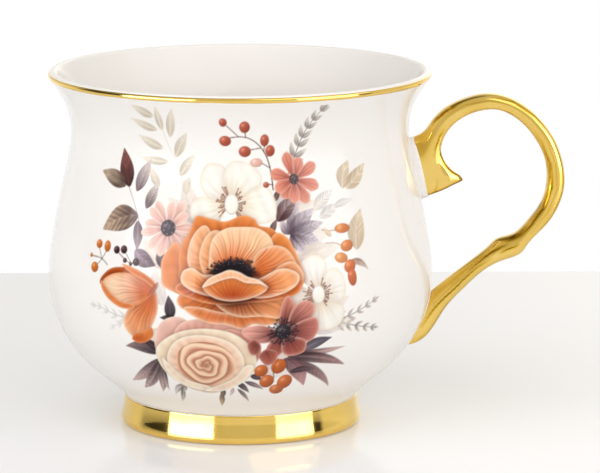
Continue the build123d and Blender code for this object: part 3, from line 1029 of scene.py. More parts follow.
def poppy_back(art):
    """The poppy's outer and back petals."""
    heart = (-1.8, 45.5)
    art.shape([(-19, 45.4), (-18.9, 49.4), (-15.8, 53.4), (-14.2, 50.6), (-13.4, 47), (-10, 43), (-12, 40.6),
               (-16, 41.6), (-18.4, 43.0)], heart, ink(196, 104, 52), ink(224, 150, 96), PEACH, 0.5, 0.1)
    art.shape([(-12.4, 44), (-14.6, 48), (-14.4, 52.6), (-12.4, 56), (-10.9, 59.6), (-7.4, 59.2),
              (-3.6, 58.6), (0.4, 60.0), (3.4, 59.2), (4.6, 57.6), (8.0, 56.6), (9.6, 53), (6, 46)], heart,
              DEEP_ORANGE, ink(224, 146, 84), ink(236, 176, 128), 0.5, 0.16, 30)
    art.shape([(3, 44), (5.4, 51), (8.4, 55.6), (11.4, 54.6), (13.0, 51.6), (14.2, 48.6), (15.2, 45.4),
              (14.4, 43.2), (10.2, 41.6), (4, 41.4)], heart, DEEP_ORANGE, ink(226, 148, 84),
              ink(242, 194, 154), 0.5, 0.14, 30)
    art.shape([(-10.6, 45.2), (-12.6, 49), (-12.2, 53.4), (-10.4, 56.6), (-8.2, 57.4), (-6.4, 54),
              (-6.2, 48.6), (-7.2, 45.8)], heart, ink(226, 148, 92), ink(238, 184, 144), PALE_PEACH, 0.55,
              0.14, 36)
    art.shape([(-8.2, 45.8), (-9.8, 50), (-8.8, 54.2), (-6.6, 56.4), (-4.2, 55.4), (-4.4, 49.8),
              (-5.0, 46.4)], heart, ink(222, 138, 76), ink(240, 190, 150), PALE_PEACH, 0.5, 0.14, 36)
    art.shape([(-6.2, 46.4), (-7.4, 50.4), (-6.6, 54.6), (-3.6, 56.9), (0.2, 57.3), (4.0, 57.0),
              (6.9, 55.2), (7.9, 52.2), (6.6, 48.6), (3.4, 46.4)], heart, ink(206, 104, 34),
              ink(244, 204, 168), PALE_PEACH, 0.6, 0.2, 44, 0.86)
    art.shape([(3.0, 45.6), (2.7, 48.6), (4.4, 51.6), (7.6, 52.8), (10.6, 52.2), (12.6, 50.0), (13.6, 47.2),
              (12.6, 44.8), (8, 43.4)], (0.6, 45.4), ink(204, 108, 44), ink(236, 172, 126), PALE_PEACH, 0.5,
              0.18, 40)
    art.shape([(6.0, 45.0), (9.4, 48.2), (12.6, 48.8), (14.6, 46.6), (14.8, 44.4), (12.2, 42.6), (8, 42.2),
               (5.0, 43.4)], (1.6, 43.8), ink(220, 138, 74), ink(236, 172, 124), PALE_PEACH, 0.45, 0.14, 36)


def poppy_middle(art):
    """The poppy's dark middle with its crown of stamens."""
    eye = np.array([-1.7, 46.4])
    art.shape([(-7.6, 45.6), (-6.4, 47.6), (-4.2, 49.2), (-1.6, 49.9), (1.2, 49.3), (3.2, 47.6), (4.4, 45.6),
               (-1.5, 44.6)], eye, NIGHT, ink(120, 56, 30), None, soft=0.9, shadow=0.0, streak=0.3, waves=60)
    art.stamens(eye, 1.6, 5.6, (178, 2), 46, NIGHT, 0.62, 0.2)
    art.stamens(eye, 1.6, 4.4, (172, 8), 34, NIGHT, 0.66, 0.22)
    art.shape([(-5.6, 45.6), (-4.4, 47.2), (-1.6, 47.9), (1.2, 47.3), (2.6, 45.6), (-1.5, 44.6)], eye,
              NIGHT, NIGHT, shadow=0.0, soft=0.35, streak=0.1)


def poppy_front(art):
    """The poppy's front: ruffled layers below, then two side petals and a middle one that curl forward."""
    low = (-2.0, 43.5)
    art.shape([(-14.9, 39.8), (-12.6, 42.0), (-6, 41.4), (-1, 40.6), (0, 37), (-4.6, 36.2), (-9.4, 36.8),
               (-13.6, 37.6)], low, RUST, ink(224, 140, 76), PALE_PEACH, 0.45, 0.14, 34, 0.9)
    art.shape([(-13.2, 37.9), (-9.6, 38.2), (-5, 37.2), (-1, 36.8), (3.6, 37.2), (8.4, 36.8), (11.4, 37.2),
              (10.2, 34.9), (6.4, 33.7), (3.0, 34.0), (0.2, 32.9), (-3.4, 34.0), (-7.4, 34.3),
              (-11.0, 35.8)], low, ink(190, 96, 44), ink(230, 154, 98), PALE_PEACH, 0.45, 0.12, 46)
    art.shape([(-6, 39.8), (-3.6, 37.2), (0, 35.9), (4.6, 36.0), (9.0, 35.4), (12.0, 36.8), (12.5, 39.2),
              (9.6, 41.2), (3.2, 41.6), (-2, 41)], low, RUST, ink(236, 170, 120), PALE_PEACH, 0.45, 0.14,
              40, 0.95)
    art.shape([(-15.0, 41.8), (-13.6, 44.0), (-6, 44.4), (1.2, 44.2), (8.8, 44.6), (14.6, 44.6), (13.2, 41.2),
               (7.2, 39.8), (1.2, 39.4), (-4, 38.9), (-9.6, 39.6)], (-2.0, 46.0), ink(170, 78, 30),
              ink(214, 122, 54), ink(240, 190, 148), 0.4, 0.18, 50)
    art.shape([(-9.4, 42.0), (-6.0, 39.7), (-2.0, 38.8), (2.6, 39.6), (6.6, 41.8), (1.8, 43.3), (-4.2, 43.4)],
              (-2.0, 42.0), ink(74, 34, 24), ink(142, 62, 26), None, soft=0.9, shadow=0.0, cover=0.85)
    art.shape([(-14.0, 44.2), (-13.5, 46.7), (-11.2, 47.4), (-8.8, 46.0), (-6.4, 46.0), (-4.0, 44.6),
              (-3.0, 42.2), (-5.0, 40.8), (-8.6, 41.2), (-12.0, 42.4)], (-4.0, 41.2), ink(196, 96, 38),
              ink(238, 176, 126), ink(251, 228, 208), 0.5, 0.14, 40, 0.85, shadow=0.6)
    art.shape([(1.2, 42.0), (2.0, 44.2), (5.0, 45.4), (8.0, 46.9), (10.8, 47.3), (13.6, 45.9), (13.4, 43.6),
               (10.6, 41.7), (6.6, 40.6), (3.2, 40.6)], (1.8, 41.2), ink(196, 96, 38), ink(238, 174, 124),
              ink(251, 228, 208), 0.5, 0.14, 40, 0.85, shadow=0.6)
    art.shape([(-8.8, 42.9), (-7.2, 45.0), (-4.8, 46.2), (-2.6, 47.0), (-0.4, 46.5), (1.6, 45.4),
              (4.2, 44.6), (6.2, 42.9), (4.6, 41.4), (1.2, 40.2), (-2.6, 39.8), (-6.2, 40.6)], (-1.8, 38.8),
              ink(180, 80, 28), ink(232, 158, 98), ink(250, 222, 198), 0.4, 0.16, 50, 0.95, shadow=0.75)
    art.shape([(-8.9, 43.0), (-7.3, 45.2), (-4.8, 46.4), (-2.6, 47.2), (-0.3, 46.7), (1.7, 45.6), (4.3, 44.8),
               (6.4, 43.0), (4.4, 43.9), (1.2, 44.2), (-1.6, 45.3), (-4.6, 44.7), (-7.0, 43.6)], (-1.8, 41.0),
              ink(226, 150, 96), ink(244, 200, 166), ink(252, 230, 212), 0.4, 0.08, 40, shadow=0.5)


def side_bud(art):
    """The half-open orange flower on the left."""
    foot = (-20.2, 41.4)
    art.shape([(-20.3, 42.6), (-24.4, 45.4), (-28.6, 46.3), (-33.0, 45.6), (-35.9, 43.2), (-36.2, 41.4),
              (-33, 40.6), (-26, 41)], foot, ink(210, 118, 54), ink(164, 80, 38), ink(224, 150, 96), 0.45,
              0.16, 34)
    art.shape([(-20.4, 41.6), (-19.5, 37.6), (-20.8, 33.6), (-23.4, 30.4), (-27.0, 29.4), (-29.2, 32.0),
              (-28.4, 35.2), (-25, 39)], foot, ink(206, 116, 60), ink(234, 174, 132), PALE_PEACH, 0.5, 0.14,
              40)
    art.shape([(-27.4, 28.6), (-26.4, 30.2), (-24.0, 31.0), (-21.6, 32.4), (-21.2, 30.6), (-22.6, 28.9),
               (-25.2, 27.9)], (-21.6, 34.0), ink(226, 150, 92), DEEP_ORANGE, ink(232, 166, 116), 0.3, 0.14)
    art.shape([(-20.4, 42.2), (-24.0, 44.4), (-29.0, 45.0), (-33.2, 44.0), (-35.6, 41.8), (-33.2, 39.4),
               (-29.6, 37.3), (-25.8, 37.2), (-22.6, 39.2)], foot, ink(204, 110, 50), ink(248, 214, 186),
              ink(232, 164, 116), 0.5, 0.12, 46, 0.8)
    art.shape([(-29.9, 47.0), (-27.0, 45.0), (-23.2, 43.6), (-20.3, 41.9), (-20.2, 43.2), (-22.4, 44.9),
               (-26.2, 46.4)], foot, DEEP_ORANGE, ink(222, 140, 78), ink(238, 184, 140), 0.35, 0.16, 60)
    art.shape([(-36.0, 42.2), (-34.7, 41.3), (-32.6, 39.6), (-29.6, 38.0), (-26.0, 37.6), (-26.6, 36.4),
               (-30.0, 36.4), (-33.4, 38.0), (-35.6, 40.2)], (-24, 39), ink(214, 128, 66), ink(222, 144, 86),
              ink(240, 188, 148), 0.3, 0.1, shadow=0.25)
    art.leaf((-19.6, 43.6), (-22.6, 39.8), 1.2, RUST, ink(170, 96, 52), 0.2, 0.2, cover=0.7)


def rose(art):
    """The cream and blush rose at the bottom: back petals, then rings that wind towards its heart."""
    heart = np.array([-9.2, 22.4])
    art.shape([(-20.6, 25), (-21.0, 30), (-18.6, 34.2), (-14.6, 35.6), (-11.8, 33.6), (-13.8, 29),
              (-16, 25)], heart, ink(206, 150, 136), ink(232, 194, 180), ink(246, 222, 208), 0.5, 0.08)
    art.shape([(-15.4, 29), (-14.8, 33.2), (-10.6, 35.2), (-4.6, 34.8), (0.8, 32.8), (3.0, 29.6),
              (4.2, 26.0), (2.0, 23), (-6, 24)], heart, ink(200, 142, 126), ink(230, 184, 168),
              ink(244, 216, 202), 0.5, 0.1)
    art.shape([(1.0, 21), (4.4, 25.0), (4.6, 29.0), (1.4, 31.6), (-3.6, 32.6), (-3, 26)], heart,
              ink(188, 128, 116), ink(218, 162, 148), ink(240, 206, 192), 0.45, 0.1)
    art.shape([(-21.0, 27.0), (-20.8, 21.8), (-18.2, 18.2), (-13.6, 15.6), (-8.2, 14.9), (-3.0, 16.6),
              (1.6, 19.2), (3.8, 23.0), (3.0, 27.4), (-1.4, 31.6), (-8.2, 32.9), (-15.4, 31.4)], heart,
              ink(228, 186, 156), ink(246, 226, 202), ink(250, 236, 218), 0.7, 0.05, 20)
    art.shape([(-18.6, 22.6), (-17.4, 27.4), (-13.8, 30.4), (-8.4, 31.2), (-2.6, 29.6), (0.6, 25.6),
              (0.4, 21.4), (-2.6, 18.0), (-8.0, 16.4), (-14.2, 17.8)], heart, ink(206, 150, 124),
              ink(243, 214, 190), ink(251, 238, 222), 0.6, 0.05, 16, shadow=0.45)
    art.whorl(heart + [0.4, 0.9], (7.8, 6.4), 3.9, ink(196, 140, 114), ink(243, 212, 184), ink(252, 238, 220))
    art.shape([(-19.9, 24.6), (-19.4, 19.9), (-15.4, 16.7), (-9.4, 15.6), (-8.8, 17.0), (-14.4, 18.6),
              (-17.4, 21.4)], (-12.6, 24.0), ink(226, 178, 150), ink(247, 228, 206), ink(252, 240, 226),
              0.5, 0.05, 16, shadow=0.3)
    art.shape([(-10.6, 15.6), (-4.6, 15.9), (0.8, 18.6), (3.2, 22.8), (1.2, 23.2), (-1.6, 19.8),
              (-6.2, 17.4)], (-7.0, 23.0), ink(222, 172, 146), ink(246, 224, 202), ink(252, 240, 226), 0.5,
              0.05, 16, shadow=0.3)


def mauve_flower(art):
    """The dusty rose flower at the lower right, with its dark middle and the small buds below."""
    middle = np.array([9.9, 32.0])
    petals = [
        ([(9, 33), (9.4, 38.4), (10.8, 40.8), (12.2, 39.4), (12.4, 35)], ink(206, 140, 122)),
        ([(11, 33), (12.0, 37.6), (14.8, 39.4), (17.2, 38.4), (17.0, 35.6), (13.6, 32.6)],
            ink(208, 148, 134)),
        ([(11, 32), (14.0, 34.4), (17.8, 35.0), (18.6, 31.8), (16.6, 29.2), (12.4, 29.8)],
            ink(196, 130, 118)),
        ([(9, 32), (4.8, 33.8), (0.6, 33.0), (0.8, 31.0), (4.6, 29.2), (8.6, 30)], ink(228, 176, 162)),
        ([(10, 31), (7.0, 29.6), (6.0, 26.8), (8.4, 25.4), (10.6, 27.6)], ink(190, 122, 106)),
        ([(10.4, 31), (9.8, 27.4), (11.6, 25.6), (15.4, 26.4), (15.6, 29.4), (12.6, 30.6)],
            ink(178, 106, 92)),
    ]
    for outline, tone in petals:
        art.shape(outline, middle, ink(126, 66, 64), tone, ink(232, 186, 172), 0.35, 0.12, 34,
                  dark=ink(84, 44, 50), dark_reach=4.2)
    art.stamens(middle, 1.2, 3.3, (0, 350), 34, NIGHT, 1.0, 0.2)
    art.seed_head(middle, 1.9, NIGHT * 1.3)
    for outline, tone in (
        ([(1.6, 29.0), (3.2, 30.2), (4.8, 28.6), (4.2, 26.4), (2.4, 26.4)], ink(170, 104, 92)),
        ([(4.4, 25.6), (6.0, 27.6), (8.8, 26.8), (8.6, 24.4), (6.4, 23.2)], ink(182, 112, 96)),
    ):
        art.shape(outline, (5.0, 30.0), ink(120, 62, 58), tone, ink(216, 160, 144), 0.3, 0.12)


def low_leaves(art):
    """The dark leaf fans at the bottom left and right, and the small leaves under the rose."""
    for base, tip, width, near, far, bend in (
        ((-20.0, 26.6), (-24.4, 29.6), 2.4, NIGHT, PLUM, 0.2),
        ((-20.6, 25.6), (-29.8, 26.6), 3.0, ink(70, 52, 58), ink(150, 128, 128), -0.9),
        ((-20.6, 24.4), (-34.0, 16.4), 2.6, ink(92, 70, 76), ink(202, 176, 170), 0.9),
        ((-20.8, 23.6), (-31.2, 14.6), 2.8, ink(84, 64, 70), ink(186, 160, 156), 1.1),
        ((-20.6, 22.4), (-24.8, 14.2), 2.6, ink(98, 78, 84), ink(192, 168, 162), 0.6),
        ((-20.4, 21.4), (-22.0, 14.8), 1.8, ink(110, 90, 94), ink(196, 176, 170), -0.3),
        ((14.6, 26.6), (22.4, 29.6), 2.8, ink(126, 118, 128), ink(96, 86, 98), 0.5),
        ((13.0, 26.0), (26.6, 26.8), 1.8, ink(110, 76, 78), ink(204, 176, 170), -0.3),
        ((11.4, 25.4), (28.4, 21.6), 2.9, ink(66, 46, 56), ink(170, 136, 134), 0.9),
        ((11.0, 24.8), (27.2, 15.4), 2.5, ink(80, 56, 64), ink(180, 146, 142), 0.9),
        ((10.6, 25.0), (18.2, 16.6), 4.2, ink(116, 84, 90), ink(196, 152, 150), 0.8),
        ((12.6, 21.0), (19.6, 21.4), 1.8, ink(70, 52, 62), ink(120, 96, 102), 0.4),
        ((2.4, 20.4), (5.8, 19.0), 1.7, ink(78, 62, 70), SLATE, 0.2),
        ((1.0, 18.6), (6.4, 16.2), 1.4, ink(92, 74, 78), ink(170, 150, 150), 0.2),
        ((-1.4, 18.6), (2.4, 15.2), 1.7, ink(66, 54, 62), ink(130, 112, 116), 0.2),
        ((-1.0, 16.4), (2.6, 12.2), 1.2, ink(96, 80, 84), ink(180, 162, 160), 0.2),
        ((-2.0, 16.8), (-3.4, 14.0), 1.1, LILAC, ink(216, 206, 206), 0.1),
        ((-4.6, 16.2), (-6.0, 13.0), 1.6, ink(100, 82, 76), ink(160, 140, 128), -0.1),
        ((-5.6, 14.8), (-6.6, 10.6), 1.8, ink(128, 106, 90), ink(200, 184, 166), 0.1),
        ((-15.8, 17.2), (-20.8, 13.6), 1.6, ink(150, 138, 136), ink(214, 206, 200), -0.5),
        ((-16.8, 16.4), (-20.4, 11.4), 1.4, ink(120, 108, 106), ink(206, 196, 188), 0.4),
        ((-15.6, 17.4), (-17.4, 14.8), 1.1, ink(150, 138, 136), ink(200, 190, 184), 0.2),
    ):
        art.leaf(base, tip, width, near, far, bend, 0.13)


def orange_berries(art):
    """The orange berries at the bottom and on the right."""
    for centre, size, turn in (((5.2, 21.7), (1.8, 1.7), 20), ((9.6, 22.8), (1.9, 2.1), -20),
                               ((7.0, 18.6), (2.0, 1.9), 10), ((12.0, 18.2), (2.1, 2.1), 30),
                               ((10.2, 16.0), (2.1, 1.45), -10)):
        art.berry(centre, size, ink(208, 118, 50), turn, 0.42)
    art.stroke([(9.2, 25.0), (8.4, 22.0), (8.8, 19.6)], 0.24, RUST, 0.7)
    art.stroke([(20.4, 55.8), (22.8, 55.4), (24.8, 55.6)], 0.24, ink(176, 150, 136), 0.8)
    art.stroke([(21.2, 52.6), (23.6, 52.4), (25.6, 51.6)], 0.24, ink(196, 160, 136), 0.8)
    art.leaf((27.0, 47.6), (32.6, 45.2), 1.7, ink(170, 138, 112), ink(206, 192, 184), 0.9, 0.2)
    art.leaf((22.8, 54.0), (21.0, 56.4), 1.2, ink(214, 184, 160), PALE_PEACH, 0.1, 0.1)
    for centre, size, turn, tone in (
        ((26.1, 55.7), (2.2, 1.15), 0, ORANGE),
        ((26.9, 51.5), (1.8, 1.35), 10, ORANGE),
        ((25.0, 48.8), (1.8, 1.25), -10, ink(230, 156, 92)),
        ((27.2, 46.6), (1.7, 1.5), 40, ink(216, 124, 48)),
        ((27.6, 44.0), (1.25, 2.2), 4, ink(208, 112, 40)),
    ):
        art.berry(centre, size, tone, turn, 0.35)


BACK_TO_FRONT = [
    faded_leaves, soft_foliage, left_leaves, low_leaves, lilac_star, pale_flowers, top_berries, star_flower,
    pink_daisy, poppy_back, poppy_middle, side_bud, rose, poppy_front, mauve_flower, orange_berries,
]


def painted_bouquet():
    """The whole painting, from the back to the front."""
    art = Painting()
    for paint in BACK_TO_FRONT:
        paint(art)
    art.ink = np.clip(art.ink, 0.0, 1.0) ** FIRED_DEPTH
    return art


def grown(field):
    """A field spread by one cell: each takes the highest value of itself and its four neighbours."""
    return np.maximum.reduce([field, *beside(field)])


def beside(field):
    """A field moved by one cell in each of the four ways."""
    return [np.roll(field, way, axis) for way in (-1, 1) for axis in (0, 1)]


def sheet_mask(painting):
    """Where the sheet lies: round all the paint, without holes. Also how deep inside it each point is."""
    wet = (np.abs(painting.ink - 1).max(2) > PAINTED_FROM).astype(float)
    for _ in range(MARGIN_CELLS):
        wet = grown(wet)
    outside = np.zeros_like(wet)
    outside[[0, -1], :] = 1
    outside[:, [0, -1]] = 1
    while True:
        wider = np.maximum(grown(outside) * (1 - wet), outside)
        if (wider == outside).all():
            break
        outside = wider
    inner = 1 - outside
    depth = inner.copy()
    for _ in range(EDGE_ROUNDS):
        depth = (depth + sum(beside(depth))) / 5
    return inner > 0, smooth_step(depth, 0.55, 1.0)


def bouquet_sheet():
    """The print: a fine sheet that follows the glaze and rises from it, with its inks as vertex colours."""
    art = painted_bouquet()
    inner, depth = sheet_mask(art)
    wall = outer_wall(0.0, 3000)
    radius = np.interp(art.v, wall[:, 1], wall[:, 0]) - SHEET_SUNK + SHEET_RISE * depth
    turn = art.u / SHEET_RADIUS
    places = np.stack([radius * np.sin(turn), -radius * np.cos(turn), art.v], 2)
    index = np.arange(art.u.size).reshape(art.u.shape)
    cells = inner[:-1, :-1] & inner[1:, :-1] & inner[:-1, 1:] & inner[1:, 1:]
    quads = np.stack([index[:-1, :-1], index[:-1, 1:], index[1:, 1:], index[1:, :-1]], 2)[cells]
    used = np.unique(quads)
    renumber = np.zeros(art.u.size, int)
    renumber[used] = np.arange(len(used))
    sheet = new_mesh("painted_bouquet", places.reshape(-1, 3)[used], renumber[quads].tolist())
    layer = sheet.data.color_attributes.new("ink", "FLOAT_COLOR", "POINT")
    colours = np.concatenate([art.ink.reshape(-1, 3)[used], np.ones((len(used), 1))], 1)
    layer.data.foreach_set("color", colours.astype(np.float32).ravel())
    return sheet


# ---------------------------------------------------------------- materials


class Tree:
    """A node tree, with short helpers."""

    def __init__(self, tree):
        self.tree = tree

    def add(self, kind, **settings):
        node = self.tree.nodes.new(kind)
        for key, value in settings.items():
            setattr(node, key, value)
        return node

    def link(self, source, target):
        self.tree.links.new(source, target)

    def ramp(self, source, stops):
        """A colour ramp over (position, colour) stops."""
        node = self.add("ShaderNodeValToRGB")
        elements = node.color_ramp.elements
        while len(elements) < len(stops):
            elements.new(0.5)
        for element, (position, colour) in zip(elements, stops):
            element.position = position
            element.color = (*colour, 1)
        self.link(source, node.inputs["Fac"])
        return node.outputs["Color"]

    def span(self, source, low, high, from_low=0.3, from_high=0.7):
        """The source stretched from one range to another."""
        node = self.add("ShaderNodeMapRange")
        ends = {"From Min": from_low, "From Max": from_high, "To Min": low, "To Max": high}
        for socket, value in ends.items():
            node.inputs[socket].default_value = value
        self.link(source, node.inputs["Value"])
        return node.outputs["Result"]

    def mix(self, share, one, other, kind="MIX"):
        """Two colours mixed by a share. Each of the three is a socket or a plain value."""
        node = self.add("ShaderNodeMix", data_type="RGBA", blend_type=kind)
        for source, socket in ((share, node.inputs[0]), (one, node.inputs[6]), (other, node.inputs[7])):
            if isinstance(source, bpy.types.NodeSocket):
                self.link(source, socket)
            else:
                socket.default_value = source
        return node.outputs[2]

    def multiply(self, one, other):
        return self.mix(1.0, one, other, "MULTIPLY")


class Nodes(Tree):
    """A material round one Principled shader."""

    def __init__(self, name):
        self.material = bpy.data.materials.new(name)
        self.material.use_nodes = True
        super().__init__(self.material.node_tree)
        self.shader = self.tree.nodes["Principled BSDF"]

    def place(self):
        """Object coordinates, which are metres in the cup's own frame."""
        return self.add("ShaderNodeTexCoord").outputs["Object"]

    def noise(self, scale, detail=4.0, roughness=0.5, distortion=0.0):
        node = self.add("ShaderNodeTexNoise")
        settings = {"Scale": scale, "Detail": detail, "Roughness": roughness, "Distortion": distortion}
        for socket, value in settings.items():
            node.inputs[socket].default_value = value
        self.link(self.place(), node.inputs["Vector"])
        return node.outputs["Fac"]

    def bump(self, height, distance, strength=1.0):
        node = self.add("ShaderNodeBump")
        node.inputs["Strength"].default_value = strength
        node.inputs["Distance"].default_value = distance
        self.link(height, node.inputs["Height"])
        self.link(node.outputs["Normal"], self.shader.inputs["Normal"])

    def set(self, **sockets):
        for key, value in sockets.items():
            self.shader.inputs[key.replace("_", " ")].default_value = value


PORCELAIN = (0.885, 0.862, 0.822)
CLOUDED = [(0.3, PORCELAIN), (0.7, [part * 1.012 for part in PORCELAIN])]


def glaze_settings(nodes):
    """The gloss of fired clear glaze: the same on the porcelain, on the slip and over the print."""
    nodes.set(IOR=1.5, Specular_IOR_Level=0.2)
    nodes.link(nodes.span(nodes.noise(180.0, 3.0), 0.05, 0.10), nodes.shader.inputs["Roughness"])
    nodes.bump(nodes.noise(420.0, 2.0), 0.00002, 0.35)


def porcelain_colour(nodes):
    """White porcelain, a little lighter and darker in slow patches, with rare pale iron specks."""
    cloud = nodes.ramp(nodes.noise(26.0, 3.0), CLOUDED)
    clear, iron = (1, 1, 1), (0.86, 0.83, 0.78)
    speck = nodes.ramp(nodes.noise(900.0, 1.0), [(0.0, clear), (0.79, clear), (0.85, iron)])
    return nodes.multiply(cloud, speck)


def porcelain_material():
    """White glazed porcelain."""
    nodes = Nodes("glazed porcelain")
    nodes.link(porcelain_colour(nodes), nodes.shader.inputs["Base Color"])
    glaze_settings(nodes)
    return nodes.material


def slip_material():
    """The joints' slip: porcelain under thicker glaze, a little whiter than the body."""
    nodes = Nodes("glazed slip")
    colour = nodes.ramp(nodes.noise(300.0, 3.0), [(0.3, (0.895, 0.878, 0.845)), (0.7, (0.915, 0.898, 0.865))])
    nodes.link(colour, nodes.shader.inputs["Base Color"])
    glaze_settings(nodes)
    return nodes.material


def biscuit_material():
    """The foot ring: glazed porcelain, with an unglazed, matt and finely grained standing ring."""
    nodes = Nodes("foot porcelain")
    height = nodes.add("ShaderNodeSeparateXYZ")
    nodes.link(nodes.place(), height.inputs["Vector"])
    bare = nodes.span(height.outputs["Z"], 1.0, 0.0, 0.0002, 0.0006)
    glazed = nodes.ramp(nodes.noise(30.0, 3.0), CLOUDED)
    grain = nodes.ramp(nodes.noise(1500.0, 5.0, 0.7), [(0.3, (0.70, 0.67, 0.62)), (0.7, (0.84, 0.81, 0.77))])
    nodes.link(nodes.mix(bare, glazed, grain), nodes.shader.inputs["Base Color"])
    nodes.link(nodes.span(bare, 0.08, 0.75, 0.0, 1.0), nodes.shader.inputs["Roughness"])
    nodes.bump(nodes.noise(1800.0, 3.0), 0.00003, 0.3)
    nodes.set(IOR=1.52)
    return nodes.material


# How the gold's colour turns brown where a dark reflection is painted on it, from none to full.
DARK_REFLECTION_GOLD = [
    (0.0, (1, 1, 1)),
    (0.3, (0.90, 0.83, 0.52)),
    (0.65, (0.60, 0.50, 0.15)),
    (1.0, (0.18, 0.12, 0.012)),
]


def gold_material(name, with_dark_reflections=False):
    """Bright gold lustre over glaze: brushed on, so its depth and its gloss change in soft strokes.
    Optionally with painted dark reflections in its colour.
    """
    nodes = Nodes(name)
    colour = nodes.ramp(
        nodes.noise(90.0, 5.0, 0.6, 0.6),
        [(0.25, (0.86, 0.58, 0.13)), (0.5, (0.91, 0.635, 0.165)), (0.75, (0.95, 0.68, 0.20))],
    )
    if with_dark_reflections:
        # painted dark reflections: the colour darkens to brown along the handle's stored lines
        dark_reflection = nodes.add("ShaderNodeAttribute", attribute_name="dark_reflection").outputs["Fac"]
        colour = nodes.multiply(colour, nodes.ramp(dark_reflection, DARK_REFLECTION_GOLD))
    nodes.link(colour, nodes.shader.inputs["Base Color"])
    smoothest = 0.03 if with_dark_reflections else 0.06
    strokes = nodes.span(nodes.noise(160.0, 4.0), smoothest, smoothest + 0.05)
    nodes.link(strokes, nodes.shader.inputs["Roughness"])
    nodes.bump(nodes.noise(140.0, 1.0), 0.00002, 0.12)
    nodes.set(Metallic=1.0, IOR=1.5)
    return nodes.material


def print_material():
    """The bouquet's inks under the same glaze as the body, so that bare parts of the sheet don't show."""
    nodes = Nodes("painted porcelain")
    inks = nodes.add("ShaderNodeVertexColor", layer_name="ink").outputs["Color"]
    nodes.link(nodes.multiply(porcelain_colour(nodes), inks), nodes.shader.inputs["Base Color"])
    glaze_settings(nodes)
    return nodes.material


def dress(obj, material):
    """Gives an object one material."""
    obj.data.materials.clear()
    obj.data.materials.append(material)


# ---------------------------------------------------------------- camera, floor and lights

# In metres, with the camera's two angles in radians and its lens in millimetres.
CAMERA_PLACE = (0.0, -0.950, 0.2228)
CAMERA_DOWN = 0.1834
CAMERA_ROLL = -0.0157
LENS = 231.5
TABLE_BACK = 0.192
TABLE_HALF_WIDTH = 1.2
TABLE_DROP = 0.00002
GROUND_HALF_WIDTH = 3.0
GROUND_BACK = 4.0
GROUND_DROP = 0.001
CUP_MIDDLE = 0.045
LAMP_DISTANCE = 0.9
SHINE_NEARER = 0.02


def camera():
    """A long lens in front of the cup and a little above it."""
    data = bpy.data.cameras.new("camera")
    data.sensor_width = 36.0
    data.lens = LENS
    data.clip_start = 0.05
    obj = bpy.data.objects.new("camera", data)
    obj.location = CAMERA_PLACE
    obj.rotation_euler = Euler((math.pi / 2 - CAMERA_DOWN, 0.0, CAMERA_ROLL))
    bpy.context.scene.collection.objects.link(obj)
    bpy.context.scene.camera = obj


def table():
    """A pale glossy table top that also glows faintly, a painted light that lifts it and the shadows on it,
    with a white ground beyond its back edge.
    """
    nodes = Nodes("table top")
    colour = nodes.ramp(nodes.noise(3.0, 2.0), [(0.3, (0.748, 0.754, 0.764)), (0.7, (0.758, 0.764, 0.774))])
    nodes.link(colour, nodes.shader.inputs["Base Color"])
    # the faint emission is painted light: the table top glows though it is no lamp
    nodes.set(Roughness=0.10, IOR=1.18, Emission_Strength=0.125)
    nodes.shader.inputs["Emission Color"].default_value = (1.0, 1.0, 0.995, 1)
    near = (-TABLE_HALF_WIDTH, -TABLE_HALF_WIDTH)
    top = plane("table_top", near, (TABLE_HALF_WIDTH, TABLE_BACK), -TABLE_DROP)
    dress(top, nodes.material)
    glow = Nodes("white ground")
    glow.set(Emission_Strength=1.0, Roughness=1.0, Specular_IOR_Level=0.0)
    glow.shader.inputs["Base Color"].default_value = (0, 0, 0, 1)
    glow.shader.inputs["Emission Color"].default_value = (1, 1, 1, 1)
    far = (GROUND_HALF_WIDTH, GROUND_BACK)
    ground = plane("white_ground", (-GROUND_HALF_WIDTH, TABLE_BACK), far, -GROUND_DROP)
    dress(ground, glow.material)


def plane(name, low, high, z):
    """A flat rectangle, in metres."""
    mesh = bpy.data.meshes.new(name)
    corners = [(low[0], low[1], z), (high[0], low[1], z), (high[0], high[1], z), (low[0], high[1], z)]
    mesh.from_pydata(corners, [], [[0, 1, 2, 3]])
    obj = bpy.data.objects.new(name, mesh)
    bpy.context.scene.collection.objects.link(obj)
    return obj


def softbox(name, azimuth, elevation, width, height, light, distance=LAMP_DISTANCE):
    """A rectangular light that faces the cup. Its angles are degrees to the right of the front, and above."""
    data = bpy.data.lights.new(name, "AREA")
    data.shape = "RECTANGLE"
    data.size, data.size_y = width, height
    data.energy = light * math.pi * width * height
    data.color = LAMP_TINT
    obj = bpy.data.objects.new(name, data)
    turn, rise = math.radians(azimuth), math.radians(elevation)
    cup = Vector((0, 0, CUP_MIDDLE))
    away = Vector((math.sin(turn) * math.cos(rise), -math.cos(turn) * math.cos(rise), math.sin(rise)))
    obj.location = cup + away * distance
    obj.rotation_euler = (-away).to_track_quat("-Z", "Y").to_euler()
    obj.visible_camera = False
    bpy.context.scene.collection.objects.link(obj)
    return obj


def paired_softbox(name, azimuth, elevation, width, height, light, shine):
    """A softbox with its own strength for its mirror image, beside the light it gives to pale surfaces."""
    lamp = softbox(name, azimuth, elevation, width, height, light)
    lamp.visible_glossy = False
    nearer = LAMP_DISTANCE - SHINE_NEARER
    image = softbox(name + "_shine", azimuth, elevation, width, height, shine, nearer)
    image.visible_diffuse = False


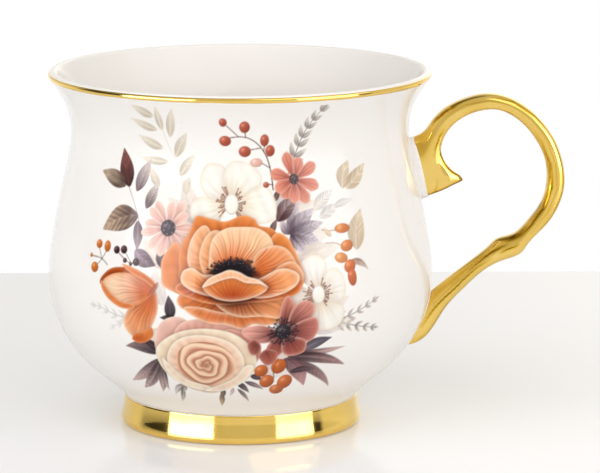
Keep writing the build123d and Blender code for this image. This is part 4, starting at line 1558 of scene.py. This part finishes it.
# What the studio sends from each direction round the cup: degrees from the front, to the right, and light.
# Level with the cup, two dark flags stand beside the softboxes and a white sweep runs round the back.
# Higher up, the room is darker behind the cup's left.
AROUND = [
    (-180, 1.0), (-168, 1.0), (-155, 0.70), (-115, 0.66), (-108, 0.04), (-74, 0.04), (-70, 0.55), (-27, 0.68),
    (34, 0.68), (69, 0.55), (72, 0.04), (82, 0.04), (86, 0.74), (140, 0.80), (150, 1.1), (160, 1.6),
    (174, 1.5), (180, 1.0),
]
ABOVE = [
    (-180, 0.50), (-160, 0.22), (-110, 0.22), (-90, 0.50), (-60, 0.66), (60, 0.70), (100, 0.72), (140, 0.72),
    (180, 0.50),
]
ABOVE_FROM, ABOVE_FULL = math.radians(22), math.radians(36)
ROOM_TINT = (1.0, 0.965, 0.89)
LAMP_TINT = (0.98, 0.975, 1.04)


def round_the_room(stops):
    """Stops of a ramp over one turn round the cup, from stops in degrees."""
    return [(degrees / 360 + 0.5, [light * tint for tint in ROOM_TINT]) for degrees, light in stops]


def world():
    """The studio round the cup, by direction. The camera itself sees plain white behind the cup."""
    scene = bpy.context.scene
    scene.world = bpy.data.worlds.new("studio")
    scene.world.use_nodes = True
    nodes = Tree(scene.world.node_tree)
    split = nodes.add("ShaderNodeSeparateXYZ")
    nodes.link(nodes.add("ShaderNodeTexCoord").outputs["Generated"], split.inputs["Vector"])
    front = nodes.add("ShaderNodeMath", operation="MULTIPLY")
    front.inputs[1].default_value = -1.0
    nodes.link(split.outputs["Y"], front.inputs[0])
    angle = nodes.add("ShaderNodeMath", operation="ARCTAN2")
    nodes.link(split.outputs["X"], angle.inputs[0])
    nodes.link(front.outputs[0], angle.inputs[1])
    turn = nodes.span(angle.outputs[0], 0.0, 1.0, -math.pi, math.pi)
    rise = nodes.span(split.outputs["Z"], 0.0, 1.0, math.sin(ABOVE_FROM), math.sin(ABOVE_FULL))
    level, high = (nodes.ramp(turn, round_the_room(stops)) for stops in (AROUND, ABOVE))
    seen_directly = nodes.add("ShaderNodeLightPath").outputs["Is Camera Ray"]
    light = nodes.mix(seen_directly, nodes.mix(rise, level, high), (1, 1, 1, 1))
    nodes.link(light, nodes.tree.nodes["Background"].inputs["Color"])


def studio():
    """All lights, and plain colour management so that white stays white."""
    world()
    paired_softbox("left_softbox", -49, 0, width=0.74, height=0.39, light=3.05, shine=5.6)
    paired_softbox("right_softbox", 53, 6, width=0.62, height=0.39, light=1.62, shine=3.3)
    softbox("high_right_softbox", 48, 33, width=1.2, height=0.50, light=1.02)
    fill = softbox("overhead_fill", -45, 50, width=0.9, height=0.9, light=1.18)
    fill.visible_glossy = False
    scene = bpy.context.scene
    scene.view_settings.view_transform = "Standard"
    scene.view_settings.look = "None"


# ---------------------------------------------------------------- assembly

camera()
table()
studio()

porcelain, slip, gold = porcelain_material(), slip_material(), gold_material("gold lustre")
# the handle's gold, with painted dark reflections
gold_with_dark_reflections = gold_material("gold lustre with painted dark reflections", with_dark_reflections=True)
pieces = [
    (glaze_shell(), porcelain, "glaze", ["glaze_coat"]),
    (bowl_core(), porcelain, "porcelain", ["bowl"]),
    (foot_ring(), biscuit_material(), "porcelain", ["foot_ring"]),
    (gilded_scroll(), gold_with_dark_reflections, "gold_lustre", ["handle", "handle_gilding"]),
    (slip_pad(), slip, "slip", ["upper_luting_pad"]),
    (tail_slip(), slip, "slip", ["lower_luting_pad"]),
    (rim_gold(), gold, "gold_lustre", ["rim_gilding"]),
    (foot_gold(), gold, "gold_lustre", ["foot_gilding"]),
    (bouquet_sheet(), print_material(), "transfer_print", ["flower_transfer"]),
]
for piece, material, slot, nodes in pieces:
    dress(piece, material)
    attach(piece, "root")
    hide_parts(*nodes)
